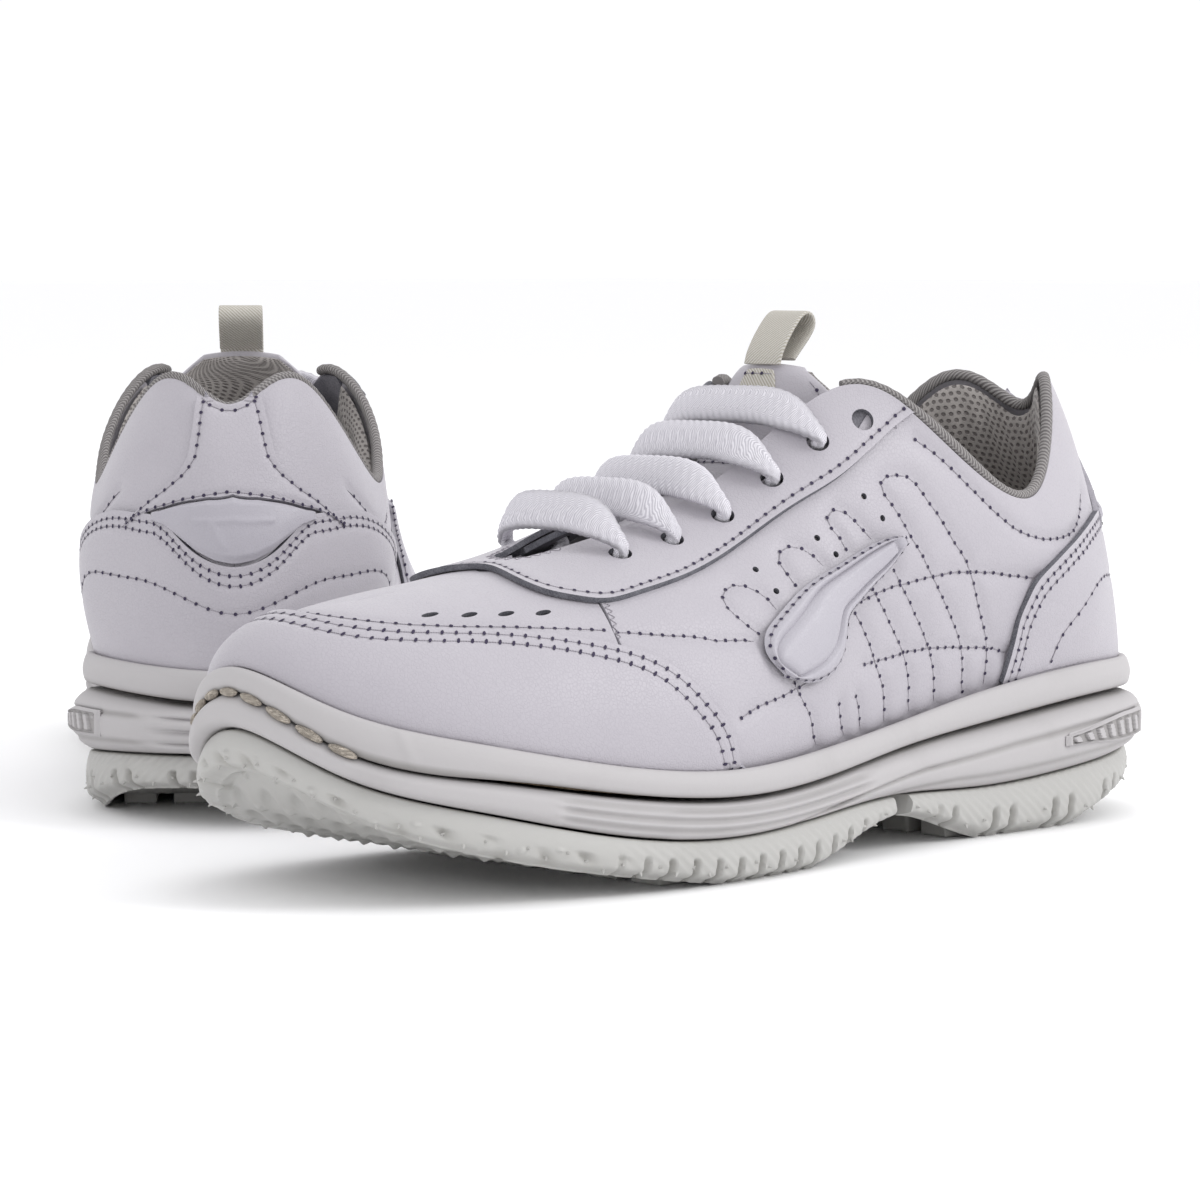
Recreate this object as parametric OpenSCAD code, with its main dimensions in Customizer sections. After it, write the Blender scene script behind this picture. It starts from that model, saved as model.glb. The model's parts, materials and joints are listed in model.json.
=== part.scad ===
/* [Shoe] */
// Length of each shoe from toe to heel
shoe_length = 270; // [200:1:310]
// Turn of the right shoe about the vertical
right_turn = 228; // [220:1:240]
// Sideways place of the right shoe from the left one
right_x = -197; // [-220:1:-195]
// Forward place of the right shoe from the left one
right_y = 30; // [25:1:60]

/* [Upper] */
// Thickness of the base leather
leather_t = 1.4; // [1:0.1:1.6]
// Thickness of the leather overlays
overlay_t = 1.3; // [0.8:0.1:1.6]
// Clearance left between stacked layers
layer_gap = 0.4; // [0.3:0.05:0.5]
// Thickness of the textile lining
lining_t = 0.8; // [0.5:0.1:1]
// Padding thickness of the collar at the heel
collar_pad = 5; // [3:0.5:6]
// Diameter of the grey binding on the collar edge
binding_d = 2.6; // [2:0.1:3]

/* [Sole] */
// Thickness of the board that the upper is lasted on
board_t = 2; // [1.5:0.1:2.2]
// Thickness of the foam sock liner
sockliner_t = 4; // [3:0.5:5]
// Depth of the tread lugs
lug_depth = 3; // [2:0.5:4]
// Number of cord stitches across the toe bumper
toe_stitches = 9; // [5:1:11]

/* [Lacing] */
// Diameter of the eyelets
eyelet_d = 5.2; // [4.6:0.1:5.6]
// Rows that the lace crosses, of the six rows of eyelets
lace_bars = 5; // [3:1:5]
// Width of the flat lace
lace_w = 8.6; // [6:0.1:9]
// Thickness of the flat lace
lace_t = 2.3; // [1.6:0.1:2.6]
// Height of each bar of lace above its eyelets
lace_rise = 8; // [7:0.5:9]

/* [Hidden] */
PARTS = [
    "outsole_forefoot", "outsole_heel", "midsole", "foxing_strip", "toe_stitching", "side_plugs",
    "insole_board", "sockliner", "vamp", "toe_cap", "lateral_quarter", "medial_quarter",
    "eyestay", "eyestay_facing", "heel_foxing", "heel_strap", "heel_badge", "side_emblems",
    "upper_lining", "collar_lining", "heel_stiffener", "toe_puff", "collar_binding",
    "tongue", "tongue_lining", "lace_keeper", "tongue_loop", "loop_tab", "lace"
];

drawn_length = 270;
size_scale = shoe_length / drawn_length;
pair_shift = [130.8, 1.25, 0];

// Stations run round the shoe: 0 at the toe tip, 10 at the heel, 20 back at the toe by the medial side.
around = 20;
half_way = around / 2;
sole_outline = [
    [-6, -135], [20, -127], [38, -104], [47, -74], [49.5, -42], [46, -10], [40, 22],
    [37.5, 54], [37.5, 86], [28.5, 114.5], [2, 133.5], [-26, 115.5], [-36, 88], [-34.5, 56],
    [-33, 24], [-37, -8], [-43, -40], [-46, -72], [-42, -103], [-28, -126]
];
// Heights of the sole's edges, the same on both sides, from the toe tip to the heel
feather_z = [49, 41, 34, 28, 24.8, 26.5, 29.7, 34.5, 38, 38, 37];
groove_z = [44, 33, 26.5, 21.5, 18.3, 19.5, 23.2, 26.3, 29.6, 30, 28.6];
pad_top_z = [36, 27, 19.5, 13, 10, 11.5, 13, 12, 14, 16, 17];
tread_z = [27, 19, 10.5, 4.5, 0, 0, 8, 0, 0, 7, 9];
// How far the wall of the midsole stands out past the rim
flare_out = [1.5, 1, 0.5, 0.5, 0.5, 0.5, 1, 2, 2.8, 3, 3];
// Edge of the upper: the ridge of the toe box, the throat, the collar and the heel
top_lateral = [
    [-3, -101, 61], [-2, -93, 62.3], [-1, -78, 64.5], [4, -58, 67.2], [9, -38, 72.3], [12, -9, 83],
    [20.5, 20, 103], [33, 40, 92.5], [34, 73, 78], [17, 98.5, 103], [0, 109.5, 97]
];
top_medial = [
    [-17, 98.5, 103], [-33, 74, 78], [-31, 42, 92.5], [-19.5, 21, 103], [-13, -9, 83],
    [-10.5, -38, 72.3], [-6, -58, 67.2], [-1, -78, 64.5], [-2, -93, 62.3]
];
top_line = concat(top_lateral, top_medial);
// Angle that the upper leans at its foot and at its top edge
foot_angle = [0, -3, -5, -6, -6, -8, -10, -11, -11, -6, -4];
edge_angle = [88, 86, 84, 80, 68, 60, 48, 34, 24, 36, 34];
// How far the upper swells outwards at half its height
swell_out = [0, 0, 0, 0, 0, 0, 1.5, 4, 3, -2.5, -2];

// Where the overlays end, as a share of the height of the upper at each whole station
toe_cap_edge = [0.6, 0.51, 0.51, 0.46, 0.12];
eyestay_edge = [1, 1, 1, 0.68, 0.7, 0.76, 0.77, 1];

inset_feather = 4;
inset_skirt = 6.5;
skirt_lift = board_t + 0.6;
base_out = 0;
base_in = -leather_t;
over_in = layer_gap;
over_out = over_in + overlay_t;
foxing_rise = 0.25;
strap_in = over_out + layer_gap;
strap_out = strap_in + overlay_t;
badge_in = strap_out + layer_gap;
badge_out = badge_in + 1.6;
stiff_out = base_in - layer_gap;
stiff_in = stiff_out - 1.2;
lining_out = stiff_in - layer_gap;
lining_in = lining_out - lining_t;
collar_out = base_in - layer_gap;
centre = 2;

function mirrored(v) = concat(v, [for (i = [len(v) - 2:-1:1]) v[i]]);
function cubic(a, b, c, d, u) =
    0.5 * (2 * b + (c - a) * u + (2 * a - 5 * b + 4 * c - d) * u ^ 2 + (3 * b - a - 3 * c + d) * u ^ 3);
function on_loop(v, s) =
    let (n = len(v), q = (s + around) % around, i = floor(q))
    cubic(v[(i + n - 1) % n], v[i % n], v[(i + 1) % n], v[(i + 2) % n], q - i);
function on_line(v, s) =
    let (n = len(v) - 1, i = min(max(floor(s), 0), n - 1), u = s - i)
    v[i] * (1 - u) + v[i + 1] * u;

FEATHER = mirrored(feather_z);
GROOVE = mirrored(groove_z);
PAD_TOP = mirrored(pad_top_z);
TREAD = mirrored(tread_z);
FLARE = mirrored(flare_out);
FOOT_ANGLE = mirrored(foot_angle);
EDGE_ANGLE = mirrored(edge_angle);
SWELL = mirrored(swell_out);

// Point on the sole's outline, moved inwards and set at a height
function outward(s) =
    let (d = on_loop(sole_outline, s + 0.01) - on_loop(sole_outline, s - 0.01))
    [d.y, -d.x] / norm(d);
function edge_point(s, inset, z) =
    let (p = on_loop(sole_outline, s) - outward(s) * inset)
    [p.x, p.y, z];

// Point on a rib of the upper: t is 0 at the feather line and 1 at the top edge
function rib(s, t) =
    let (
        foot = edge_point(s, inset_feather, on_loop(FEATHER, s)),
        top = on_loop(top_line, s),
        a0 = on_loop(FOOT_ANGLE, s),
        a1 = on_loop(EDGE_ANGLE, s),
        a = a0 + (a1 - a0) * t,
        in = (cos(a0) - cos(a)) / (cos(a0) - cos(a1)),
        up = (sin(a) - sin(a0)) / (sin(a1) - sin(a0)),
        out = outward(s) * on_loop(SWELL, s) * sin(180 * min(max(t, 0), 1))
    )
    [
        foot.x + (top.x - foot.x) * in + out.x,
        foot.y + (top.y - foot.y) * in + out.y,
        foot.z + (top.z - foot.z) * up
    ];
function rib_normal(s, t) =
    let (c = cross(rib(s + 0.02, t) - rib(s - 0.02, t), rib(s, t + 0.01) - rib(s, t - 0.01)))
    c / norm(c);
// Point of the upper at height h off its outer face; t below 0 is the skirt that goes down to the board
function on_upper(s, t, h) =
    t > 1 ? (on_upper(s, 1, h) + on_upper(-s, 1, h)) / 2
    : t >= 0 ? rib(s, t) + rib_normal(s, t) * h
    : let (
        foot = rib(s, 0),
        skirt = edge_point(s, inset_skirt, on_loop(GROOVE, s) + skirt_lift),
        n = outward(s)
    )
    foot + (skirt - foot) * -t + [n.x, n.y, 0] * h;

// Faces of a sheet that is a grid of places, counter-clockwise from outside
function grid_faces(rows, cols) = [
    for (i = [0:rows - 2]) for (j = [0:cols - 2])
        let (a = i * cols + j, b = a + cols)
        each [[a, b, b + 1], [a, b + 1, a + 1]]
];
function zip_faces(cols) = [
    for (j = [0:(cols - 3) / 2])
        let (m = cols - 1 - j)
        each (m - 1 == j + 1 ? [[j, j + 1, m]] : [[j, j + 1, m - 1], [j, m - 1, m]])
];
function grid_rim(rows, cols, zipped) = concat(
    [for (i = [0:rows - 1]) i * cols],
    [for (j = [1:cols - 1]) (rows - 1) * cols + j],
    [for (i = [rows - 2:-1:0]) i * cols + cols - 1],
    zipped ? [] : [for (j = [cols - 2:-1:1]) j]
);
function flipped(faces) = [for (f = faces) [f[2], f[1], f[0]]];
function shifted(faces, n) = [for (f = faces) [for (i = f) i + n]];

// Closed solid between an outer and an inner grid of points
module shell(outer, inner, zipped = false) {
    rows = len(outer);
    cols = len(outer[0]);
    count = rows * cols;
    skin = concat(grid_faces(rows, cols), zipped ? zip_faces(cols) : []);
    rim = grid_rim(rows, cols, zipped);
    walls = [
        for (k = [0:len(rim) - 1])
            let (p = rim[k], q = rim[(k + 1) % len(rim)])
            each [[p, p + count, q + count], [p, q + count, q]]
    ];
    polyhedron(
        points = concat([for (r = outer) each r], [for (r = inner) each r]),
        faces = flipped(concat(skin, flipped(shifted(skin, count)), walls))
    );
}

// Panel of the upper over a grid of [station, height share] places
module panel(places, h_out, h_in, zipped = false) {
    shell(
        [for (r = places) [for (p = r) on_upper(p[0], p[1], h_out)]],
        [for (r = places) [for (p = r) on_upper(p[0], p[1], h_in)]],
        zipped
    );
}
function steps(a, b, n) = [for (i = [0:n]) a + (b - a) * i / n];
function places(stations, low, high, rows) = [
    for (s = stations) [for (u = steps(0, 1, rows)) [s, low(s) + (high(s) - low(s)) * u]]
];
function constant(c) = function (s) c;
// Arch across the shoe at a station, from the lateral foot over the ridge to the medial foot
function arch(s, shares) = concat(
    [for (t = shares) [s, t]],
    [[s, centre]],
    [for (i = [len(shares) - 1:-1:0]) [-s, shares[i]]]
);

// Solid between stacked outlines, capped across from side to side
module stack(levels) {
    n = len(levels[0]);
    top = (len(levels) - 1) * n;
    cap = [
        for (k = [0:n / 2 - 2])
            each [[k, k + 1, n - 2 - k], [k, n - 2 - k, n - 1 - k]]
    ];
    walls = [
        for (l = [0:len(levels) - 2]) for (k = [0:n - 1])
            let (a = l * n + k, b = l * n + (k + 1) % n)
            each [[a, b, b + n], [a, b + n, a + n]]
    ];
    polyhedron(
        points = [for (l = levels) each l],
        faces = flipped(concat(walls, shifted(cap, top), flipped(cap)))
    );
}
function outline_loop(stations, inset, heights, lift) = [
    for (s = stations) edge_point(s, inset, on_loop(heights, s) + lift)
];
all_round = [for (k = [0:2 * around - 1]) 0.25 + k / 2];
forefoot_round = [for (k = [0:23]) -5.75 + k / 2];
heel_round = [for (k = [0:15]) 6.25 + k / 2];

// Ring or open tube through a list of section loops
module tube(sections, closed) {
    n = len(sections);
    m = len(sections[0]);
    last = closed ? n - 1 : n - 2;
    walls = [
        for (i = [0:last]) for (j = [0:m - 1])
            let (a = i * m + j, b = i * m + (j + 1) % m, c = ((i + 1) % n) * m + (j + 1) % m, d = ((i + 1) % n) * m + j)
            each [[a, b, c], [a, c, d]]
    ];
    caps = closed ? [] : concat(
        [for (j = [1:m - 2]) [0, j + 1, j]],
        [for (j = [1:m - 2]) [(n - 1) * m, (n - 1) * m + j, (n - 1) * m + j + 1]]
    );
    polyhedron(points = [for (s = sections) each s], faces = flipped(concat(walls, caps)));
}

// Sole
lug_root = 2.5;
module lug(x, y, turn, size) {
    translate([x, y, 0]) rotate([0, 0, turn]) linear_extrude(lug_depth + lug_root) square(size, center = true);
}
module outsole_forefoot() {
    color("#f1f2ec") {
        stack([
            outline_loop(forefoot_round, 5, TREAD, lug_depth + 0.2),
            outline_loop(forefoot_round, 1.5, TREAD, lug_depth + 3),
            outline_loop(forefoot_round, 1.5, PAD_TOP, 0)
        ]);
        for (row = [0:2]) for (x = [-33 + row:13:36]) lug(x + 2, -50 + row * 13, 0, [9, 9]);
    }
}
module outsole_heel() {
    color("#f1f2ec") {
        stack([
            outline_loop(heel_round, 5, TREAD, lug_depth + 0.2),
            outline_loop(heel_round, 2, TREAD, lug_depth + 3),
            outline_loop(heel_round, 1.5, PAD_TOP, 0)
        ]);
        for (row = [0:2]) for (x = [-24:12:27]) lug(x + 1, 53 + row * 13, 0, [8, 9]);
    }
}
module midsole() {
    // widest part of the wall, a third of the way up
    belly = [
        for (s = all_round)
            edge_point(s, -on_loop(FLARE, s), on_loop(PAD_TOP, s) * 0.6 + on_loop(GROOVE, s) * 0.4)
    ];
    color("#f4f3f1")
        stack([
            outline_loop(all_round, 1.5, PAD_TOP, layer_gap),
            belly,
            outline_loop(all_round, 0.5, GROOVE, -2.5),
            outline_loop(all_round, 1.8, GROOVE, -layer_gap)
        ]);
}
module foxing_strip() {
    color("#f6f5f3")
        tube([
            for (s = all_round)
                let (g = on_loop(GROOVE, s) + layer_gap, f = on_loop(FEATHER, s))
                [
                    edge_point(s, inset_skirt - 0.6, g),
                    edge_point(s, inset_feather - 0.4, f - 0.8),
                    edge_point(s, 1.6, f - 0.4),
                    edge_point(s, -0.4, (f + g) / 2),
                    edge_point(s, 0.6, g)
                ]
        ], true);
}
module toe_stitching() {
    color("#e9e4da")
        for (k = [0:toe_stitches - 1])
            let (
                s = -1 + 2 * k / (toe_stitches - 1),
                a = edge_point(s - 0.07, -1.3, on_loop(GROOVE, s - 0.07)),
                b = edge_point(s + 0.07, -1.3, on_loop(GROOVE, s + 0.07)),
                d = b - a
            )
            translate(a) rotate([0, acos(d.z / norm(d)), atan2(d.y, d.x)]) cylinder(h = norm(d), d = 1.6, $fn = 16);
}
// Blank oval plate let into the side of the heel
plug_shares = [0.3, 0.5, 0.7];
plug_out = 4.4;
function plug_point(s, share, out) =
    let (low = on_loop(PAD_TOP, s), high = on_loop(GROOVE, s))
    edge_point(s, -out, low + (high - low) * share);
module side_plug(from, to) {
    shell(
        [for (s = steps(from, to, 5)) [for (u = plug_shares) plug_point(s, u, plug_out)]],
        [for (s = steps(from, to, 5)) [for (u = plug_shares) plug_point(s, u, plug_out - 0.9)]]
    );
}
module side_plugs() {
    color("#efeeec") {
        side_plug(7.7, 8.9);
        side_plug(11.1, 12.3);
    }
}
module insole_board() {
    color("#cdbfa3")
        stack([
            outline_loop(all_round, inset_skirt - 0.5, GROOVE, 0.2),
            outline_loop(all_round, inset_skirt - 0.5, GROOVE, 0.2 + board_t)
        ]);
}
module sockliner() {
    lift = skirt_lift + 0.2;
    inset = inset_skirt - lining_in + 0.6;
    color("#dcdad6")
        stack([
            outline_loop(all_round, inset, GROOVE, lift),
            outline_loop(all_round, inset, GROOVE, lift + sockliner_t)
        ]);
}

// Upper
vamp_shares = [-1, 0, 0.2, 0.4, 0.6, 0.8];
vamp_stations = [0.25, 0.5, 1, 1.5, 2, 2.5, 2.75];
// Stations from the medial to the lateral side, with a short flat at the toe tip as in the vamp
function across_toe(reach) = concat(steps(-reach, -0.5, 2 * reach - 1), [-0.25, 0.25], steps(0.5, reach, 2 * reach - 1));
module vamp() {
    color("#f3f1f6")
        panel([for (s = vamp_stations) arch(s, vamp_shares)], base_out, base_in, true);
}
module toe_cap() {
    color("#f1eff5")
        panel(
            places(across_toe(4), constant(0.02), function (s) on_line(toe_cap_edge, abs(s)), 3),
            over_out, over_in
        );
}
quarter_shares = [-1, 0, 0.25, 0.5, 0.75, 1];
function quarter_top(s) = let (q = abs(s) > half_way ? around - abs(s) : abs(s))
    q < 3 ? 0.6 : q < 6 ? on_line(eyestay_edge, q) + 0.08 : min(1, 0.85 + (q - 6) * 0.3);
module quarter(stations) {
    panel(
        [for (s = stations) [for (t = quarter_shares) [s, t < 0 ? t : t * quarter_top(s)]]],
        base_out, base_in
    );
}
module lateral_quarter() {
    color("#f4f2f7") quarter(concat([2.8], steps(3, 9.5, 13), [9.96]));
}
module medial_quarter() {
    color("#f4f2f7") quarter(concat([10.04], steps(10.5, 17, 13), [17.2]));
}
// Places of the eyestay: a U round the throat, from its outer edge to the throat edge
function stay_row(s) =
    let (q = abs(s), side = s < 0 ? -1 : 1)
    [for (u = [0, 0.5, 1]) [s, on_line(eyestay_edge, q) * (1 - u) + u * 0.995]];
stay_side = concat([3.2], steps(3.5, 6, 5), [6.4, 6.7]);
stay_front = [
    for (side = [-1, 1]) for (k = side < 0 ? [1, 0] : [0, 1])
        let (outer = [[2.56, 0.84], [2.85, 0.7]][k], inner = [[2.84, 0.995], [3, 0.995]][k])
        [for (u = [0, 0.5, 1]) let (p = outer * (1 - u) + inner * u) [side * p[0], p[1]]]
];
stay_places = concat(
    [for (i = [len(stay_side) - 1:-1:0]) stay_row(-stay_side[i])],
    [stay_front[0], stay_front[1]],
    [[[2.5, centre], [2.62, centre], [2.76, centre]]],
    [stay_front[2], stay_front[3]],
    [for (s = stay_side) stay_row(s)]
);
eyelet_stations = [3.75, 4.3, 4.8, 5.25, 5.65, 6.05];
eyelet_share = 0.87;
module eyelet_holes() {
    for (side = [-1, 1]) for (s = eyelet_stations)
        let (p = on_upper(side * s, eyelet_share, 0), n = rib_normal(side * s, eyelet_share))
        translate(p) rotate([0, acos(n.z), atan2(n.y, n.x)]) cylinder(h = 10, d = eyelet_d, center = true, $fn = 32);
}
module eyestay() {
    color("#f4f2f7")
        difference() {
            panel(stay_places, over_out, over_in);
            eyelet_holes();
        }
}
module eyestay_facing() {
    function facing_row(s) = [
        for (u = [0, 0.5, 1])
            let (q = abs(s), from = on_line(eyestay_edge, q) + 0.11)
            [s, from * (1 - u) + u * 0.995]
    ];
    color("#d9d6d2")
        difference() {
            union()
                for (side = [-1, 1])
                    panel(
                        [for (s = steps(side * 4.75 - 1.25, side * 4.75 + 1.25, 5)) facing_row(s)],
                        base_out, base_in
                    );
            eyelet_holes();
        }
}
module heel_foxing() {
    edge = function (s)
        let (q = abs(s - half_way))
        q > 2 ? 0.66 * (2.7 - q) / 0.7 + 0.03 : 0.5 + 0.16 * sin(min(q, 1.5) * 60) ^ 2;
    color("#f2f0f6")
        panel(
            places(concat([7.35], steps(7.5, 12.5, 10), [12.65]), constant(0.02), edge, 5),
            over_out + foxing_rise, over_in + foxing_rise
        );
}
module heel_strap() {
    function half_width(t) = 0.34 + 0.5 * max(0, 0.75 - t) + 0.14 * max(0, t - 0.75);
    color("#f3f1f7")
        panel(
            [
                for (u = steps(-1, 1, 4))
                    [for (t = [0.5, 0.62, 0.75, 0.87, 0.985]) [half_way + u * half_width(t), t]]
            ],
            strap_out, strap_in
        );
}
module heel_badge() {
    color("#eeecf2")
        panel(
            [
                for (u = steps(-1, 1, 8))
                    let (mid = 0.46 + 0.03 * u ^ 2, half = 0.012 + 0.09 * (1 - u ^ 2))
                    [for (v = [-1, 0, 1]) [half_way + 0.72 * u, mid + v * half]]
            ],
            badge_out, badge_in
        );
}
// Plain slanted lozenge with soft ends, sewn on each side
module side_emblem(side) {
    run = [
        for (u = side > 0 ? steps(0, 1, 6) : steps(1, 0, 6))
            let (s = 4.55 + 1.5 * u, mid = 0.28 + 0.21 * u, half = 0.02 + 0.09 * sin(180 * min(1, 0.12 + u * 0.82)))
            [for (v = [-1, 0, 1]) [side * s, mid + v * half]]
    ];
    panel(run, over_out + 0.9, over_in);
}
module side_emblems() {
    color("#f0eef4") {
        side_emblem(1);
        side_emblem(-1);
    }
}

// Inner pieces
module upper_lining() {
    color("#bfb9b4") {
        panel([for (s = vamp_stations) arch(s, vamp_shares)], lining_out, lining_in, true);
        panel(
            [
                for (s = concat([2.8], steps(3, 17, 28), [17.2]))
                    let (q = min(s, around - s), t1 = q < 6 ? min(0.62, quarter_top(s) - 0.1) : 0.44)
                    [for (t = [-1, 0, 0.5, 1]) [s, t < 0 ? t : t * t1]]
            ],
            lining_out, lining_in
        );
    }
}
// Padding grows from the front of the collar to full thickness at the ankle and heel
function pad(s) = let (q = min(s, around - s)) 1.2 + (collar_pad - 1.2) * min(1, max(0, (q - 6.2) / 1.2));
module collar_lining() {
    stations = steps(6, 14, 16);
    rows = [0.5, 0.75, 0.98];
    fullness = [0.4, 1, 0.5];
    color("#b7b1ab")
        shell(
            [for (s = stations) [for (t = rows) on_upper(s, t * min(1, quarter_top(s)), collar_out)]],
            [
                for (s = stations) [
                    for (j = [0:len(rows) - 1])
                        on_upper(s, rows[j] * min(1, quarter_top(s)), collar_out - pad(s) * fullness[j])
                ]
            ]
        );
}
module heel_stiffener() {
    color("#cfc7b6")
        panel([for (s = steps(7.5, 12.5, 10)) [for (t = [-0.9, 0, 0.22, 0.44]) [s, t]]], stiff_out, stiff_in);
}
module toe_puff() {
    color("#cfc7b6")
        panel([for (s = across_toe(2.5)) [for (t = [0.03, 0.2, 0.4]) [s, t]]], stiff_out, stiff_in);
}
module collar_binding() {
    r = binding_d / 2;
    color("#b3aeb0")
        tube(
            [
                for (s = steps(6, 14, 16))
                    let (
                        c = on_upper(s, 1, -r / 2) + [0, 0, r + 0.6],
                        along = rib(s + 0.05, 1) - rib(s - 0.05, 1),
                        n = rib_normal(s, 1),
                        side = n - along * (n * along) / (along * along),
                        x = side / norm(side),
                        y = cross(along, x) / norm(along)
                    )
                    [for (k = [0:5]) c + (x * cos(60 * k) + y * sin(60 * k)) * r]
            ],
            false
        );
}

// Tongue: stations up the throat, each a crown across the shoe
tongue_line = [[-66, 59.5], [-52, 64], [-38, 69.5], [-24, 75], [-10, 80.5], [2, 87], [12, 96.5], [18, 108]];
tongue_half = [9, 12, 15, 17.5, 19.5, 20.5, 20, 16];
tongue_crown = [0.04, 0.042, 0.042, 0.042, 0.04, 0.034, 0.026, 0.018];
tongue_t = 3.2;
function tongue_point(k, u, down) =
    let (
        i = min(floor(k), 6),
        f = k - i,
        p = tongue_line[i] * (1 - f) + tongue_line[i + 1] * f,
        w = tongue_half[i] * (1 - f) + tongue_half[i + 1] * f,
        c = tongue_crown[i] * (1 - f) + tongue_crown[i + 1] * f,
        d = tongue_line[i + 1] - tongue_line[i],
        n = [0, -d.y, d.x] / norm(d),
        x = u * w
    )
    [x, p.x, p.y] - n * (c * x ^ 2 + down);
module tongue_sheet(k0, k1, n, half, top, bottom) {
    // stations run towards the heel and rows from the lateral to the medial side
    shell(
        [for (k = steps(k0, k1, n)) [for (u = steps(half, -half, 6)) tongue_point(k, u, top)]],
        [for (k = steps(k0, k1, n)) [for (u = steps(half, -half, 6)) tongue_point(k, u, bottom)]]
    );
}
module tongue() {
    color("#f3f1f6") tongue_sheet(0, 7, 7, 1, 0, tongue_t);
}
module tongue_lining() {
    color("#b7b1ab") tongue_sheet(0, 7, 7, 1, tongue_t + 0.4, tongue_t + 1.6);
}
module lace_keeper() {
    color("#f1eff5") tongue_sheet(4, 4.6, 1, 0.55, -1.1, -0.3);
}
// Pull loop: a flat band folded over above the tongue's edge
loop_w = 11;
loop_t = 1.1;
module tongue_loop() {
    color("#ecebe4")
        translate([-loop_w / 2, 0, 0]) rotate([90, 0, 90]) linear_extrude(loop_w)
            difference() {
                hull() {
                    translate([26, 117.5]) circle(d = 6, $fn = 32);
                    translate([17.5, 110.5]) square([5, 0.5]);
                }
                hull() {
                    translate([26, 117.5]) circle(d = 6 - 2 * loop_t, $fn = 32);
                    translate([17.5 + loop_t, 110]) square([5 - 2 * loop_t, 0.2]);
                }
            }
}
module loop_tab() {
    color("#ecebe4") tongue_sheet(6.1, 6.9, 2, 0.3, -1.2, -0.3);
}

// Lace: bars over the tongue, joined under the eyestay on alternate sides
lace_lean = 50;
stay_along = [0, cos(lace_lean), sin(lace_lean)];
// Direction in which the middle of a bar of lace rises
bar_lift = [0, -cos(60), sin(60)];
function eyelet_point(row, side, h) = on_upper(side * eyelet_stations[row], eyelet_share, h);
function ring_size(kind) = kind == 0 ? [lace_w, lace_t] : kind == 1 ? [3.2, 3] : kind == 2 ? [1.6, 4] : [4.6, 2.8];
hole_heights = [-2.6, 0.6, 3.6];
bar_shares = [0.05, 0.14, 0.26, 0.4, 0.6, 0.74, 0.86, 0.95];
// Each entry is a centre, the direction of its width, and its kind: 0 bar, 1 in a hole, 2 underneath, 3 end of a bar
function bar_points(row) =
    let (
        side = row % 2 == 0 ? 1 : -1,
        a = eyelet_point(row, side, hole_heights[2]),
        b = eyelet_point(row, -side, hole_heights[2])
    )
    concat(
        [for (h = hole_heights) [eyelet_point(row, side, h), stay_along * side, 1]],
        [
            for (u = bar_shares)
                let (lift = lace_rise * (1 - (2 * u - 1) ^ 4) - 2.2 * max(0, abs(2 * u - 1) - 0.88))
                [
                    a * (1 - u) + b * u + lift * bar_lift,
                    stay_along * side,
                    abs(2 * u - 1) > 0.88 ? 3 : 0
                ]
        ],
        [for (i = [2:-1:0]) [eyelet_point(row, -side, hole_heights[i]), stay_along * side, 1]],
        row < lace_bars - 1 ? [
            for (u = [0.3, 0.7])
                let (s = eyelet_stations[row] * (1 - u) + eyelet_stations[row + 1] * u)
                [on_upper(-side * s, eyelet_share, -3.4), rib_normal(-side * s, eyelet_share) * side, 2]
        ] : []
    );
lace_route = [for (row = [0:lace_bars - 1]) each bar_points(row)];
module lace() {
    n = len(lace_route);
    color("#f6f4f9")
        tube(
            [
                for (i = [0:n - 1])
                    let (
                        r = lace_route[i],
                        d = lace_route[min(i + 1, n - 1)][0] - lace_route[max(i - 1, 0)][0],
                        t = d / norm(d),
                        w0 = r[1] - t * (r[1] * t),
                        w = w0 / norm(w0),
                        v = cross(t, w),
                        z = ring_size(r[2]) / 2
                    )
                    [for (k = [0:7]) r[0] + w * z[0] * cos(45 * k + 22.5) + v * z[1] * sin(45 * k + 22.5)]
            ],
            false
        );
}

module piece(name) {
    if (name == "outsole_forefoot") outsole_forefoot();
    if (name == "outsole_heel") outsole_heel();
    if (name == "midsole") midsole();
    if (name == "foxing_strip") foxing_strip();
    if (name == "toe_stitching") toe_stitching();
    if (name == "side_plugs") side_plugs();
    if (name == "insole_board") insole_board();
    if (name == "sockliner") sockliner();
    if (name == "vamp") vamp();
    if (name == "toe_cap") toe_cap();
    if (name == "lateral_quarter") lateral_quarter();
    if (name == "medial_quarter") medial_quarter();
    if (name == "eyestay") eyestay();
    if (name == "eyestay_facing") eyestay_facing();
    if (name == "heel_foxing") heel_foxing();
    if (name == "heel_strap") heel_strap();
    if (name == "heel_badge") heel_badge();
    if (name == "side_emblems") side_emblems();
    if (name == "upper_lining") upper_lining();
    if (name == "collar_lining") collar_lining();
    if (name == "heel_stiffener") heel_stiffener();
    if (name == "toe_puff") toe_puff();
    if (name == "collar_binding") collar_binding();
    if (name == "tongue") tongue();
    if (name == "tongue_lining") tongue_lining();
    if (name == "lace_keeper") lace_keeper();
    if (name == "tongue_loop") tongue_loop();
    if (name == "loop_tab") loop_tab();
    if (name == "lace") lace();
}
module left_place() {
    translate(pair_shift) scale(size_scale) children();
}
module right_place() {
    translate(pair_shift + [right_x, right_y, 0]) rotate([0, 0, right_turn]) mirror([1, 0, 0]) scale(size_scale) children();
}

for (p = PARTS) {
    left_place() piece(p);
    right_place() piece(p);
}
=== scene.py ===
import json
import math
import bpy
import numpy as np
from mathutils import Matrix, Vector
from mathutils.bvhtree import BVHTree
from mathutils.kdtree import KDTree


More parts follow.
